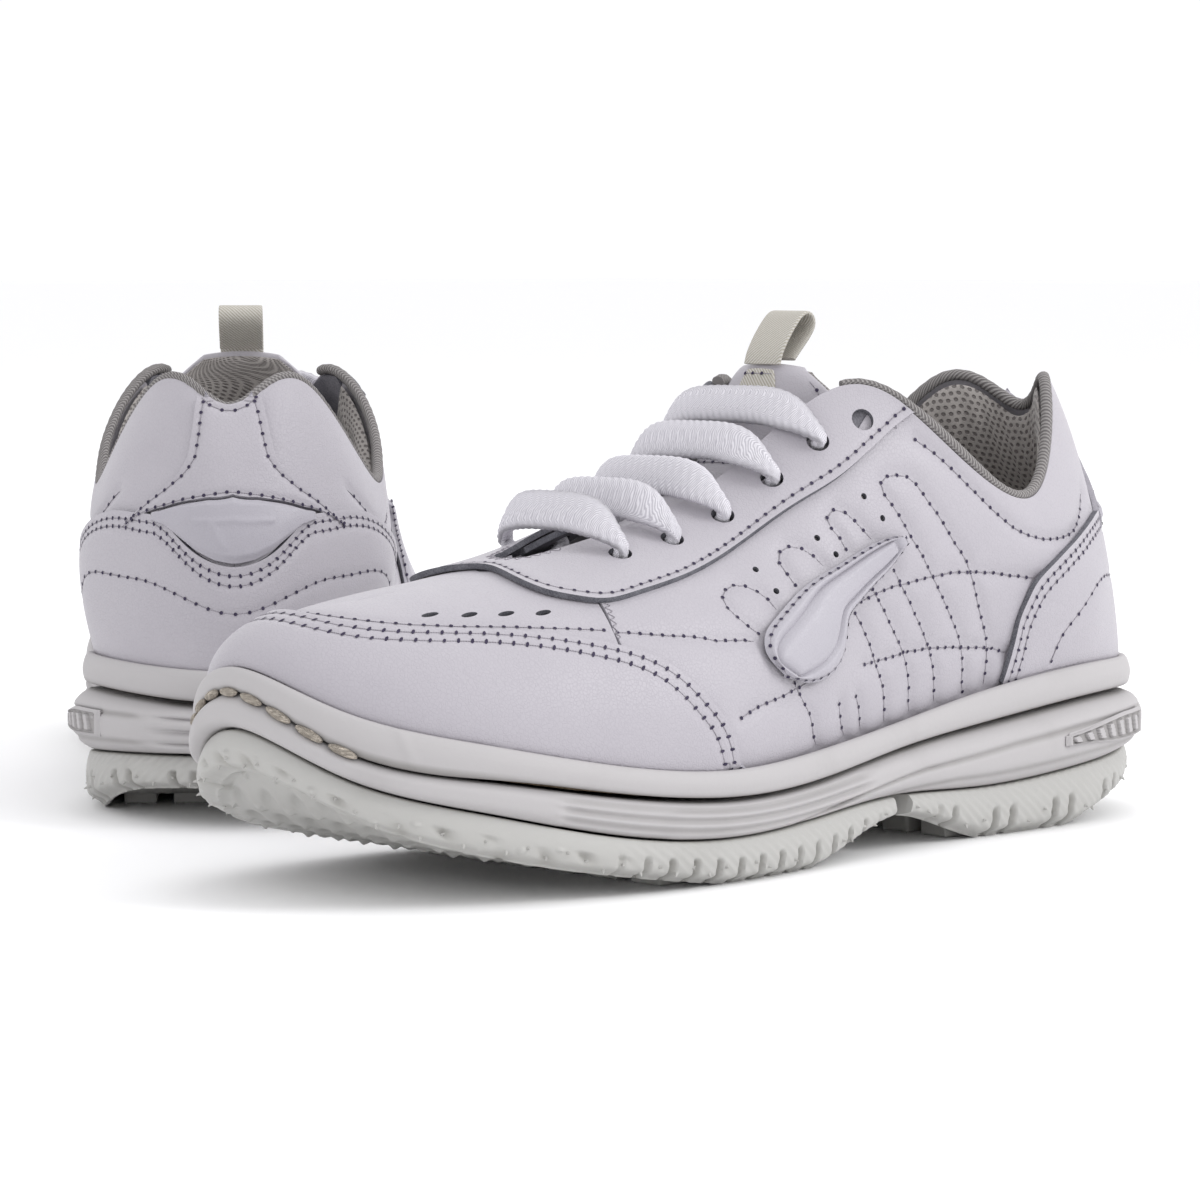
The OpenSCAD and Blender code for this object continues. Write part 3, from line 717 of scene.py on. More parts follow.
# Lines on the upper, as (station, share of the height)
lines = {
    "toeCapEdge": [(4.17, -0.12), (4.03, 0.12), (3.86, 0.235), (3.68, 0.33), (3.42, 0.41), (3.1, 0.455),
                   (2.7, 0.49), (2.2, 0.515), (1.6, 0.525), (1.0, 0.535), (0.5, 0.56), (0.0, 0.58)],
    "vampRow": [(3.14, 0.535), (2.42, 0.56), (1.64, 0.585), (0.7, 0.64), (0.0, 0.67)],
    "vampRowRear": [(3.24, 0.53), (3.89, 0.49), (4.13, 0.46), (4.37, 0.44), (4.5, 0.42)],
    "stayEdge": [(6.73, 0.99), (6.55, 0.92), (6.13, 0.80), (5.7, 0.74), (5.34, 0.75), (4.97, 0.76),
                 (4.54, 0.74), (4.09, 0.71), (3.62, 0.68), (3.26, 0.655), (2.99, 0.68), (2.76, 0.73),
                 (2.6, 0.82), (2.52, 0.92)],
    "throatEdge": [(6.74, 0.998), (6.3, 0.998), (5.9, 0.998), (5.4, 0.998), (4.8, 0.998), (4.2, 0.998),
                   (3.8, 0.998), (3.5, 0.998), (3.3, 0.998), (3.15, 0.998), (3.05, 0.998), (2.98, 0.998),
                   (2.92, 0.998), (2.86, 0.998)],
    "collarRow": [(6.57, 0.85), (6.78, 0.84), (6.96, 0.81), (7.16, 0.76), (7.36, 0.72), (7.57, 0.73),
                  (7.9, 0.75), (8.2, 0.72), (8.6, 0.69)],
    "foxingEdge": [(7.22, -0.12), (7.2, 0.05), (7.2, 0.2), (7.22, 0.29), (7.29, 0.38), (7.39, 0.47),
                   (7.58, 0.58), (7.82, 0.68), (8.09, 0.71), (8.4, 0.65), (8.75, 0.55), (9.0, 0.5),
                   (9.18, 0.485), (9.4, 0.44), (9.65, 0.39), (10.0, 0.37)],
    "foxingRow": [(7.68, 0.05), (7.68, 0.19), (7.81, 0.3), (8.11, 0.42), (8.5, 0.36), (8.85, 0.29),
                  (9.17, 0.265), (9.57, 0.23), (10.0, 0.2)],
    "quilt": [
        [(4.56, 0.44), (4.47, 0.49), (4.39, 0.55), (4.37, 0.6), (4.41, 0.62), (4.48, 0.64), (4.58, 0.63),
         (4.71, 0.58), (4.81, 0.49)],
        [(5.05, 0.53), (5.0, 0.61), (5.0, 0.64), (5.04, 0.66), (5.11, 0.66), (5.22, 0.62), (5.34, 0.53)],
        [(5.58, 0.53), (5.53, 0.6), (5.48, 0.64), (5.52, 0.66), (5.62, 0.65), (5.76, 0.57), (5.84, 0.52)],
        [(6.86, -0.04), (6.75, 0.14), (6.63, 0.24), (6.49, 0.33), (6.36, 0.42), (6.24, 0.5), (6.13, 0.58),
         (6.05, 0.64), (6.05, 0.68), (6.12, 0.69), (6.33, 0.69), (6.45, 0.64), (6.56, 0.58), (6.66, 0.51),
         (6.76, 0.45), (6.83, 0.36), (6.9, 0.26), (7.0, 0.15), (7.08, -0.04)],
        [(6.01, 0.42), (6.12, 0.34), (6.25, 0.26), (6.37, 0.18), (6.48, 0.08), (6.54, -0.04)],
        [(5.76, 0.39), (5.88, 0.31), (6.04, 0.21), (6.16, 0.12), (6.25, -0.04)],
        [(5.55, 0.35), (5.67, 0.26), (5.78, 0.17), (5.89, 0.08), (5.94, -0.04)],
        [(5.53, 0.11), (5.59, 0.06), (5.64, -0.04)],
        [(5.32, 0.11), (5.36, 0.05), (5.43, -0.04)],
        [(4.8, 0.24), (4.86, 0.18), (4.95, 0.12), (5.0, 0.06), (5.07, -0.04)],
        [(5.62, 0.37), (5.91, 0.37), (6.3, 0.38), (6.68, 0.41), (7.04, 0.44), (7.42, 0.48)],
        [(5.62, 0.19), (5.92, 0.18), (6.38, 0.175), (6.77, 0.16), (7.01, 0.15), (7.22, 0.12)],
        [(4.18, 0.17), (4.43, 0.2), (4.72, 0.21), (4.95, 0.22)],
    ],
    "perforations": [(4.77, 0.65), (4.85, 0.55), (5.35, 0.62), (5.46, 0.54), (5.84, 0.65), (5.96, 0.57)],
    "leafTop": [(4.65, 0.27), (4.51, 0.36), (4.56, 0.43), (4.73, 0.47), (5.04, 0.51), (5.37, 0.51),
                (5.66, 0.51), (5.95, 0.51), (6.14, 0.5)],
    "leafLow": [(4.65, 0.27), (4.92, 0.22), (5.19, 0.22), (5.33, 0.27), (5.39, 0.34), (5.52, 0.37),
                (5.72, 0.4), (5.91, 0.43), (6.14, 0.5)],
    "slots": [(2.67, 0.63), (2.35, 0.635), (2.02, 0.64), (1.64, 0.655)],
}
# Sizes in mm: the share is the height of the eyelets, overlayAt and strapAt lift the outer layers
eyelets = {"stations": (3.75, 4.3, 4.8, 5.25, 5.65, 6.05), "share": 0.87, "diameter": 5.2}
upper = {"leather": 1.4, "overlay": 1.3, "overlayAt": 1.7, "strapAt": 2.0}


def sidesOf(key):
    line = lines[key]
    return line + mirrored(line[:-1])[::-1]


def cutHoles(piece, holes, depth):
    # holes: (place, normal, direction, long radius, short radius)
    deselect()
    cutters = []
    for place, normal, along, longer, shorter in holes:
        bpy.ops.mesh.primitive_cylinder_add(vertices=20, radius=1, depth=1)
        cutter = bpy.context.active_object
        z = Vector(normal).normalized()
        x = (Vector(along) - z * z.dot(Vector(along))).normalized()
        turn = Matrix((x, z.cross(x), z)).transposed()
        size = Matrix.Diagonal((longer * 0.001, shorter * 0.001, depth * 0.001))
        cutter.data.transform((turn @ size).to_4x4())
        cutter.data.transform(Matrix.Translation(Vector(place) * 0.001))
        cutter.data.materials.append(finishOf["rawEdge"])
        cutters.append(cutter)
    cutter = joinAll(cutters, "cutter")
    work(piece, "BOOLEAN", object=cutter, operation="DIFFERENCE", solver="EXACT", material_mode="TRANSFER")
    bpy.data.objects.remove(cutter)


def holesAt(places, longer, shorter, h=0.0, ahead=None):
    holes = []
    for s, t in places:
        along = onUpper(s + ahead[0], t + ahead[1]) - onUpper(s, t) if ahead else (0, 1, 0)
        holes.append((onUpper(s, t, h), ribNormal(np.array(s), np.array(t)), along, longer, shorter))
    return holes


def sewnPiece(name, points, seams=(), thick=upper["overlay"], bevel=0.3, finish="leather", edge="rawEdge"):
    # a sheet of leather with its rows of stitches, a seam being (line, pitch, slit)
    piece = gridPiece(name, points, finish, (edge,))
    surface = surfaceOf(piece)
    for seam in seams:
        sew(surface, *seam)
    thicken(piece, thick, bevel, rim=1)
    return piece


def makeVamp():
    s = np.linspace(-3.2, 3.2, 210)
    t = np.concatenate([np.linspace(-0.5, 0, 6)[:-1], np.linspace(0, 1, 48)])
    points = onUpper(*np.meshgrid(s, t), 0.0)
    # the throat stays shut as far as the eyestay's front edge
    middle = (points[-1] + points[-1][::-1]) / 2
    shut = np.linalg.norm(points[-1] - middle, axis=1) < 1.7
    points[-1][shut] = middle[shut]
    row = curveOnUpper(sidesOf("vampRow"))
    points = pressIn(points, [row], normals=gridNormals(points))
    piece = gridPiece("vamp_leather", points, "leather", ("foldedEdge",), flips=False)
    weld(piece, 0.0003)
    sew(surfaceOf(piece), row)
    thicken(piece, upper["leather"], 0.2, rim=1)
    cutHoles(piece, holesAt(lines["slots"] + mirrored(lines["slots"]), 2.1, 0.85, ahead=(0.05, 0.006)), 6)
    rounded(piece, 40)
    putOnBoth(piece, nodes=("vamp",))


def makeToeCap():
    base = [(3.25, -0.12), (2.6, -0.12), (1.9, -0.12), (1.2, -0.12), (0.5, -0.12), (0.0, -0.12)]
    places = loft(sidesOf("toeCapEdge"), base + mirrored(base[:-1])[::-1], 300, 40)
    points = onUpper(places[..., 0], places[..., 1], upper["overlayAt"])
    rows = [insetLine(points, 1.7), insetLine(points, 4.6)]
    points = pressIn(points, rows, 0.3, 0.9)
    seams = [(row, 3.0, sewing["slit"]) for row in rows]
    piece = sewnPiece("toe_cap_leather", points, seams, edge="foldedEdge")
    putOnBoth(piece, nodes=("toe_cap",))


def quarterTop(s):
    q = np.where(np.abs(s) > 10, 20 - np.abs(s), np.abs(s))
    front = np.interp(q, [3, 3.3, 3.6, 4.1, 4.6, 5, 5.4, 5.75, 6.0],
                      [0.72, 0.73, 0.76, 0.79, 0.82, 0.84, 0.83, 0.82, 0.85])
    return np.where(q < 6, front, np.minimum(1, 0.85 + (q - 6) * 0.3))


def makeQuarters():
    for side, name in ((1, "lateral_quarter"), (-1, "medial_quarter")):
        s = side * np.concatenate([np.linspace(3.22, 7.6, 175), np.linspace(7.6, 10, 54)[1:]])
        share = np.concatenate([np.linspace(-0.5, 0, 6)[:-1], np.linspace(0, 1, 56)])
        s, share = np.meshgrid(s, share)
        points = onUpper(s, np.where(share > 0, share * quarterTop(s), share), 0.0)
        flip = (lambda line: line) if side > 0 else mirrored
        seams = [lines["collarRow"], lines["vampRowRear"]] + lines["quilt"]
        rows = [curveOnUpper(flip(line)) for line in seams]
        points = pressIn(points, rows, 0.3, 1.5, 0.35)
        piece = gridPiece(name + "_leather", points, "leather", ("foldedEdge",))
        surface = surfaceOf(piece)
        for row in rows:
            sew(surface, row)
        zigzag(surface, curveOnUpper(flip([(3.26, 0.655), (3.24, 0.58), (3.22, 0.48)])), 1.7, 0.9)
        zigzag(surface, curveOnUpper(flip([(6.15, 0.83), (6.35, 0.86), (6.55, 0.93)])), 2.2, 1.3)
        thicken(piece, upper["leather"], 0.25, rim=1)
        cutHoles(piece, holesAt(flip(lines["perforations"]), 0.75, 0.75), 6)
        rounded(piece, 40)
        putOnBoth(piece, nodes=(name,))


def eyeletHoles(rows=6):
    radius = eyelets["diameter"] / 2
    places = [(side * s, eyelets["share"]) for side in (1, -1) for s in eyelets["stations"][:rows]]
    return holesAt(places, radius, radius, 1.0)


def makeEyestay():
    # cross lines from the outer edge to the throat, round the front of the throat
    across = 15
    side = loft(lines["stayEdge"], lines["throatEdge"], 46, across)
    lateral = onUpper(side[..., 0], side[..., 1])
    medial = onUpper(-side[..., 0], side[..., 1])[:, ::-1]
    u = np.linspace(0, 1, across)
    front = (onUpper(2.47 + 0.3 * u, 0.999 + 0 * u) + onUpper(-2.47 - 0.3 * u, 0.999 + 0 * u)) / 2
    whole = np.concatenate([lateral, front[:, None], medial], 1).transpose(1, 0, 2)
    whole = openSpline(whole.reshape(len(whole), -1))(np.linspace(0, len(whole) - 1, 360))
    base = whole.reshape(360, across, 3).transpose(1, 0, 2)
    fine = openSpline(base.reshape(across, -1))(np.linspace(0, across - 1, 34)).reshape(34, 360, 3)
    points = fine + orient(fine) * upper["overlayAt"]
    row = insetLine(points, 2.4)
    points = pressIn(points, [row], 0.32, 0.9)
    piece = gridPiece("eyestay_leather", points, "leather", ("rawEdge",))
    surface = surfaceOf(piece)
    sew(surface, row)
    edge = insetLine(points, 1.0, False)
    middle = len(edge) // 2
    zigzag(surface, edge[middle - 22:middle + 22], 2.0, 1.2)
    thicken(piece, upper["overlay"], 0.3, rim=1)
    cutHoles(piece, eyeletHoles(), 8)
    rounded(piece, 45)
    putOnBoth(piece, nodes=("eyestay",))


def makeFacings():
    parts = []
    share = np.linspace(0, 1, 16)[:, None]
    for side in (1, -1):
        s = side * np.linspace(3.5, 6.35, 124)[None, :]
        low = np.interp(np.abs(s), [3.5, 4.1, 4.6, 5, 5.4, 6.35], [0.79, 0.82, 0.85, 0.87, 0.86, 0.8]) - 0.005
        points = onUpper(s + 0 * share, low * (1 - share) + 0.992 * share, 0.0)
        parts.append(sewnPiece("facing" + str(side), points, (), upper["leather"], 0.2, "facing"))
    piece = joinAll(parts, "eyestay_facing_suede")
    cutHoles(piece, eyeletHoles(5), 9)
    rounded(piece, 45)
    putOnBoth(piece, nodes=("eyestay_facing",))


def heelLine(line):
    # the medial half repeats the lateral one beyond station 10
    return line + [(20 - s, t) for s, t in line[-2::-1]]


def makeHeelFoxing():
    base = heelLine([(8.1, -0.12), (8.5, -0.12), (9.0, -0.12), (9.5, -0.12), (10.0, -0.12)])
    places = loft(heelLine(lines["foxingEdge"]), base, 300, 40)
    points = onUpper(places[..., 0], places[..., 1], upper["overlayAt"])
    rows = [insetLine(points, 2.2), insetLine(points, 4.6),
            curveOnUpper(heelLine(lines["foxingRow"]), upper["overlayAt"])]
    points = pressIn(points, rows, 0.34, 0.9)
    seams = [(rows[0], 2.6, 0.55), (rows[1], 2.6, 0.55), (rows[2], 3.4)]
    piece = sewnPiece("heel_foxing_leather", points, seams)
    putOnBoth(piece, nodes=("heel_foxing",))


strap = {
    "foot": [(8.7, 0.475), (9.0, 0.492), (9.26, 0.52), (9.5, 0.567), (9.73, 0.61), (10.0, 0.64)],
    "half": [(0, 1.22), (0.05, 1.0), (0.12, 0.78), (0.22, 0.6), (0.36, 0.5), (0.6, 0.47), (0.85, 0.45),
             (1, 0.42)],
    "badge": [(9.0, 0.482), (9.33, 0.455), (9.63, 0.405), (9.8, 0.388), (10.0, 0.382)],
}


def makeHeelStrap():
    # straight and narrow above, spread below to the ends of an arch
    places = np.array(heelLine(strap["foot"]))
    v = np.linspace(0, 1, 66)[:, None]
    u = np.linspace(-1, 1, 81)[None, :]
    half = np.interp(v, [a for a, _ in strap["half"]], [b for _, b in strap["half"]])
    for _ in range(3):
        half[1:-1] = (half[:-2] + half[2:] + 2 * half[1:-1]) / 4
    corner = 1 - 0.3 * smooth(v, 0.93, 1.0) * np.abs(u) ** 3
    s = 10 + u * half * corner
    foot = np.interp(s, places[:, 0], places[:, 1])
    points = onUpper(s, foot + (0.998 - foot) * v, upper["strapAt"])
    sides = points.transpose(1, 0, 2)
    rows = [insetLine(sides, 1.9), insetLine(sides, 1.9, False), insetLine(points, 0.9),
            insetLine(points, 1.9, False)]
    points = pressIn(points, rows, 0.3, 0.9)
    piece = sewnPiece("heel_strap_leather", points, [(row,) for row in rows], edge="foldedEdge")
    putOnBoth(piece, nodes=("heel_strap",))


def makeHeelBadge():
    # an eye-shaped pad between the arch of the strap and the dip of the foxing
    low = np.array(heelLine(strap["badge"]))
    high = np.array(heelLine(strap["foot"]))
    u = np.linspace(-1, 1, 110)[None, :]
    v = np.linspace(-1, 1, 40)[:, None]
    s = 10 + 0.86 * u + 0 * v
    bottom = np.interp(s, low[:, 0], low[:, 1])
    top = np.interp(s, high[:, 0], high[:, 1]) - 0.012
    rim = smooth(1 - np.maximum(np.abs(v), np.abs(u) ** 4), 0, 0.22)
    bar = np.exp(-(((v - 0.25 + 0.5 * u ** 2) / 0.11) ** 2)) * (np.abs(u) < 0.45)
    hook = np.exp(-(((u - 0.22 - 0.16 * v) / 0.05) ** 2)) * smooth(0.35 - v, 0, 0.2) * smooth(v + 0.7, 0, 0.2)
    crown = 0.9 * rim + 0.5 * (1 - v ** 2) * (1 - u ** 2) + 0.3 * np.maximum(bar, hook)
    base = onUpper(s, bottom + (top - bottom) * (v * 0.5 + 0.5), 1.9)
    points = base + orient(base) * crown[..., None]
    piece = sewnPiece("heel_badge_leather", points, (), 1.4, 0.2, "emblem", "foldedEdge")
    putOnBoth(piece, nodes=("heel_badge",))


def makeEmblems():
    parts = []
    u = np.linspace(0, 1, 98)[None, :]
    v = np.linspace(-1, 1, 30)[:, None]
    ends = np.minimum(1 - np.abs(v), np.minimum(u, 1 - u) * 5)
    field = 1.5 * smooth(ends, 0.0, 0.22) - 0.9 * np.exp(-((ends - 0.42) / 0.06) ** 2)
    field = field + 0.5 * smooth(ends, 0.46, 0.7)
    places = loft(lines["leafTop"], lines["leafLow"], 98, 30)
    for side in (1, -1):
        base = onUpper(side * places[..., 0], places[..., 1], 0.4)
        points = base + orient(base) * (0.9 + field[..., None])
        rim = np.concatenate([insetLine(points, 1.3), insetLine(points, 1.3, False)[::-1]])
        parts.append(sewnPiece("emblem" + str(side), points, [(rim,)], 1.0, 0.25, "emblem"))
    putOnBoth(joinAll(parts, "side_emblem_leather"), nodes=("side_emblems",))


# Pressure of the cloth, steps that it runs, and how far in mm each pad may swell
puff = {"pressure": 4.0, "steps": 20, "collar": 1.6, "tongue": 0.7, "lining": 0.6}


def inflate(piece, cap, inwards=False):
    # a cloth under pressure, its result kept in the mesh
    rest = np.zeros(len(piece.data.vertices) * 3)
    piece.data.vertices.foreach_get("co", rest)
    modifier = piece.modifiers.new("Cloth", "CLOTH")
    cloth = modifier.settings
    cloth.quality = 6
    cloth.mass = 0.2
    cloth.tension_stiffness = 12
    cloth.compression_stiffness = 12
    cloth.bending_stiffness = 0.4
    cloth.use_pressure = True
    cloth.uniform_pressure_force = puff["pressure"]
    cloth.effector_weights.gravity = 0
    modifier.point_cache.frame_start = 1
    modifier.point_cache.frame_end = puff["steps"]
    for step in range(1, puff["steps"] + 1):
        bpy.context.scene.frame_set(step)
    swollen = piece.evaluated_get(bpy.context.evaluated_depsgraph_get()).to_mesh()
    moved = np.zeros(len(rest))
    swollen.vertices.foreach_get("co", moved)
    rest = rest.reshape(-1, 3)
    shift = moved.reshape(-1, 3) - rest
    shift = shift - shift.mean(0)
    far = np.linalg.norm(shift, axis=1)
    print(piece.name, "swells, mm:", round(float(np.median(far)) * 1000, 2))
    shift = shift * np.minimum(1, cap * 0.001 / np.maximum(far, 1e-9))[:, None]
    if inwards:
        outwards = rest * 1.0
        outwards[:, 1] -= np.minimum(rest[:, 1], 0.075)
        outwards[:, 2] = 0
        outwards = unit(outwards)
        shift = shift - outwards * np.maximum(0, (shift * outwards).sum(1))[:, None]
    piece.modifiers.remove(modifier)
    piece.data.vertices.foreach_set("co", (rest + shift).ravel())
    piece.data.update()
    bpy.context.scene.frame_set(1)


# From and to are stations, the rest in mm
collar = {"from": 6.0, "to": 14.0, "pad": 5.4, "binding": 1.25, "folds": 0.35}


def makeCollar():
    # a closed pillow section: flat against the quarter, crowned towards the foot
    s = np.linspace(collar["from"], collar["to"], 300)[None, :]
    turn = np.linspace(0, 2 * np.pi, 41)[:, None]
    q = np.minimum(s, 20 - s)
    full = 1.3 + (collar["pad"] - 1.3) * smooth(q, 6.1, 7.3)
    up = 0.5 + 0.5 * np.sin(turn)
    depth = 0.5 - 0.5 * np.cos(turn)
    share = (0.5 + 0.485 * up ** 0.9) * quarterTop(s)
    crown = np.sin(np.pi * np.clip(up, 0, 1)) ** 0.6
    folds = collar["folds"] * np.sin(s * 23) * smooth(q, 7.6, 9) * crown
    inside = -1.75 - depth * (0.35 * full + 0.65 * full * crown + folds)
    s = s + 0 * turn
    points = onUpper(s, share, 0.0) + ribNormal(s, share) * inside[..., None]
    piece = gridPiece("collar_lining_pad", points[::-1], "mesh", flips=False)
    weld(piece)
    faceOutwards(piece)
    inflate(piece, puff["collar"], True)
    rounded(piece, 70)
    putOnBoth(piece, nodes=("collar_lining",))


def closedTube(name, points, finish):
    # a grid whose first and last rows meet, with its two ends filled
    piece = gridPiece(name, points, finish, flips=False)
    weld(piece)
    capEnds(piece)
    rounded(piece, 60)
    return piece


def makeBinding():
    s = np.linspace(collar["from"] + 0.05, collar["to"] - 0.05, 420)
    r = collar["binding"]
    centre = onUpper(s, 0 * s + 1, -r) + np.array([0, 0, r * 0.8])
    along = unit(np.gradient(centre, axis=0))
    n = ribNormal(s, 0 * s + 1)
    x = unit(n - along * (n * along).sum(1, keepdims=True))
    y = np.cross(along, x)
    run = lengths(centre)
    turn = np.linspace(0, 2 * np.pi, 15)[:, None]
    swell = 1 + 0.035 * np.sin(turn + (run * 2 * np.pi / 3.0)[None, :])
    ring = np.cos(turn)[..., None] * x[None] * 1.15 + np.sin(turn)[..., None] * y[None]
    points = centre[None] + ring * (r * swell)[..., None]
    piece = closedTube("collar_binding_tape", points, "binding")
    putOnBoth(piece, nodes=("collar_binding",))


def makeLinings():
    s = np.linspace(-3.1, 3.1, 60)
    t = np.linspace(-0.8, 1, 26)
    points = onUpper(*np.meshgrid(s, t), -3.4)
    front = gridPiece("liningFront", points, "mesh", flips=False)
    weld(front, 0.0004)
    s = np.linspace(3.1, 16.9, 180)[None, :]
    q = np.minimum(s, 20 - s)
    high = np.interp(q, [3, 5.6, 6.4, 7], [0.62, 0.62, 0.5, 0.49])
    deep = -3.4 - 0.9 * smooth(q, 6.5, 7.5)[..., None]
    u = np.linspace(0, 1, 22)[:, None]
    rear = gridPiece("liningRear", onUpper(s + 0 * u, -0.8 + (high + 0.8) * u, deep), "mesh")
    for piece in (front, rear):
        thicken(piece, 0.8, 0)
    putOnBoth(joinAll([front, rear], "upper_lining_mesh"), nodes=("upper_lining",))


def capRows(edge, shares):
    # rows that run from an edge in to the middle line of the sole
    middle = (edge + edge[::-1]) / 2
    return [edge + (middle - edge) * k for k in shares]


def slab(name, rows, finish):
    top = capRows(rows[0], (1.0, 0.97, 0.9, 0.75, 0.5, 0.25))
    bottom = capRows(rows[-1], (0.25, 0.5, 0.75, 0.9, 0.97, 1.0))
    piece = gridPiece(name, np.array(top + list(rows) + bottom), finish, flips=False)
    weld(piece, 0.00002)
    faceOutwards(piece)
    return piece


def makeSockliner():
    s = np.linspace(0, 20, 241)
    base = heightAt["groove"](s) + form["skirtLift"] + 0.2
    section = ((12.4, 4.1), (11.4, 4.0), (11.15, 3.4), (11.15, 0.5), (11.5, 0.0))
    rows = [edgePoint(s, 0 * s - inset, base + z) for inset, z in section]
    piece = slab("sockliner_foam", rows, "sockFoam")
    rounded(piece, 50)
    putOnBoth(piece, nodes=("sockliner",))


# The tongue's middle line as (y, z) in mm, and its half width and crown at each of those points
tongue = {
    "line": [(-66, 59.5), (-52, 64), (-38, 69.5), (-24, 75), (-10, 80.5), (2, 87), (12, 96.5), (18, 108)],
    "half": [9, 12, 15, 17.5, 19.5, 20.5, 20, 16.5],
    "crown": [0.04, 0.042, 0.042, 0.042, 0.04, 0.034, 0.026, 0.018],
    "thick": 3.2,
}


def tonguePoint(k, u, down):
    k = np.asarray(k, float) + 0 * np.asarray(u, float)
    line = openSpline(tongue["line"])
    p = line(k)
    d = unit(line(k + 0.01) - line(k - 0.01))
    half = openSpline(tongue["half"])(k) * (1 - 0.42 * smooth(k, 6.35, 7.15) ** 2.2)
    crown = openSpline(tongue["crown"])(k)
    x = u * half
    drop = crown * x ** 2 + down
    return np.stack([x, p[..., 0] + d[..., 1] * drop, p[..., 1] - d[..., 0] * drop], -1)


def tonguePillow(name, top, bottom, finish, count=130, swell=0.5):
    k = np.linspace(0.03, 7.08, count)[None, :]
    turn = np.linspace(0, 2 * np.pi, 57)[:, None]
    u = -np.cos(turn)
    u = np.sign(u) * np.abs(u) ** 0.8
    flat = np.abs(np.sin(turn)) ** 0.55
    end = np.sqrt(np.clip(1 - np.maximum(0, (k - 6.8) / 0.28) ** 2, 0.0, 1))
    end = end * np.sqrt(np.clip(k / 0.25, 0, 1))
    thick = (bottom - top) / 2 + swell * (1 - u ** 2) * smooth(k, 3.5, 6.0)
    down = (top + bottom) / 2 - np.where(turn < np.pi, 1, -1) * flat * thick * (0.25 + 0.75 * end)
    return closedTube(name, tonguePoint(k + 0 * turn, u + 0 * k, down), finish)


def makeTongue():
    piece = tonguePillow("tongue_padded_leather", 0.0, tongue["thick"], "leather")
    inflate(piece, puff["tongue"])
    surface = surfaceOf(piece)
    k = np.linspace(0.6, 6.85, 260)
    rows = [tonguePoint(k, 0 * k + u, 0.0) for u in (0.86, -0.86)]
    u = np.linspace(-0.86, 0.86, 60)
    for middle, bow in ((4.95, 0.35), (5.55, -0.1)):
        rows.append(tonguePoint(middle + bow * u ** 2, u * 0.62, 0.0))
    for row in rows:
        sew(surface, row)
    putOnBoth(piece, "tongue_body", ("tongue",))
    top = tongue["thick"] + 0.4
    lining = tonguePillow("tongue_lining_mesh", top, top + 1.3, "mesh", 110, 0.9)
    inflate(lining, puff["lining"])
    putOnBoth(lining, "tongue_body", ("tongue_lining",))


def makeKeeper():
    u = np.linspace(-0.55, 0.55, 40)[None, :]
    k = np.linspace(4.0, 4.6, 16)[:, None]
    base = tonguePoint(k + 0 * u, u + 0 * k, -0.35)
    lift = 0.75 * np.sin(np.pi * (u / 1.1 + 0.5)) ** 0.35
    points = base + orient(base) * (0.55 + lift[..., None])
    sides = points.transpose(1, 0, 2)
    seams = [(insetLine(sides, 1.3), 2.4), (insetLine(sides, 1.3, False), 2.4)]
    piece = sewnPiece("lace_keeper_strip", points, seams, 0.8, 0.2, edge="foldedEdge")
    putOnBoth(piece, "tongue_body", ("lace_keeper",))


# The bend is where the loop turns on its foot, in metres
loop = {"width": 11.0, "thick": 1.1, "bend": ((0, 0.0202, 0.109), (0, 0.0235, 0.1155))}


def makeLoop():
    # side section of the folded band, from its front foot over the fold to its rear foot
    path = [(17.6, 108.4), (18.3, 110.6), (19.9, 113.4), (22.0, 116.2), (24.2, 118.6), (26.3, 119.9),
            (28.2, 119.4), (28.9, 117.6), (27.8, 115.4), (25.6, 113.0), (23.8, 111.2), (22.3, 109.6)]
    centre = openSpline(path)(np.linspace(0, len(path) - 1, 90))
    d = unit(np.gradient(centre, axis=0))
    n = np.stack([-d[:, 1], d[:, 0]], 1)
    width = loop["width"] / 2
    section = []
    for k in np.linspace(0, 2 * np.pi, 29):
        x = math.copysign(abs(math.cos(k)) ** 0.35, math.cos(k)) * width
        lift = math.copysign(abs(math.sin(k)) ** 0.5, math.sin(k)) * loop["thick"] / 2
        p = centre + n * (lift + 0.35 * (abs(x) / width) ** 4 * 0.4)
        section.append(np.stack([0 * p[:, 0] + x, p[:, 0], p[:, 1]], 1))
    piece = closedTube("pull_loop_webbing", np.array(section), "webbing")
    putOnBoth(piece, "loop", ("tongue_loop",))
    u = np.linspace(-0.3, 0.3, 22)[None, :]
    k = np.linspace(6.08, 6.92, 26)[:, None]
    base = tonguePoint(k + 0 * u, u + 0 * k, -0.3)
    points = base + orient(base) * (0.75 + 0.3 * np.cos(u * 4.5)[..., None])
    tab = gridPiece("loop_tab_webbing", points, "webbing")
    surface = surfaceOf(tab)
    sew(surface, insetLine(points, 1.3), 2.4)
    sew(surface, insetLine(points, 1.3, False), 2.4)
    thicken(tab, 0.9, 0.2)
    putOnBoth(tab, "tongue_body", ("loop_tab",))


# Sizes in mm, the lean of the bars in degrees
lace = {"bars": 5, "width": 9.2, "thick": 2.8, "rise": 8.0, "rib": 0.15, "pitch": 2.1, "lean": 62}


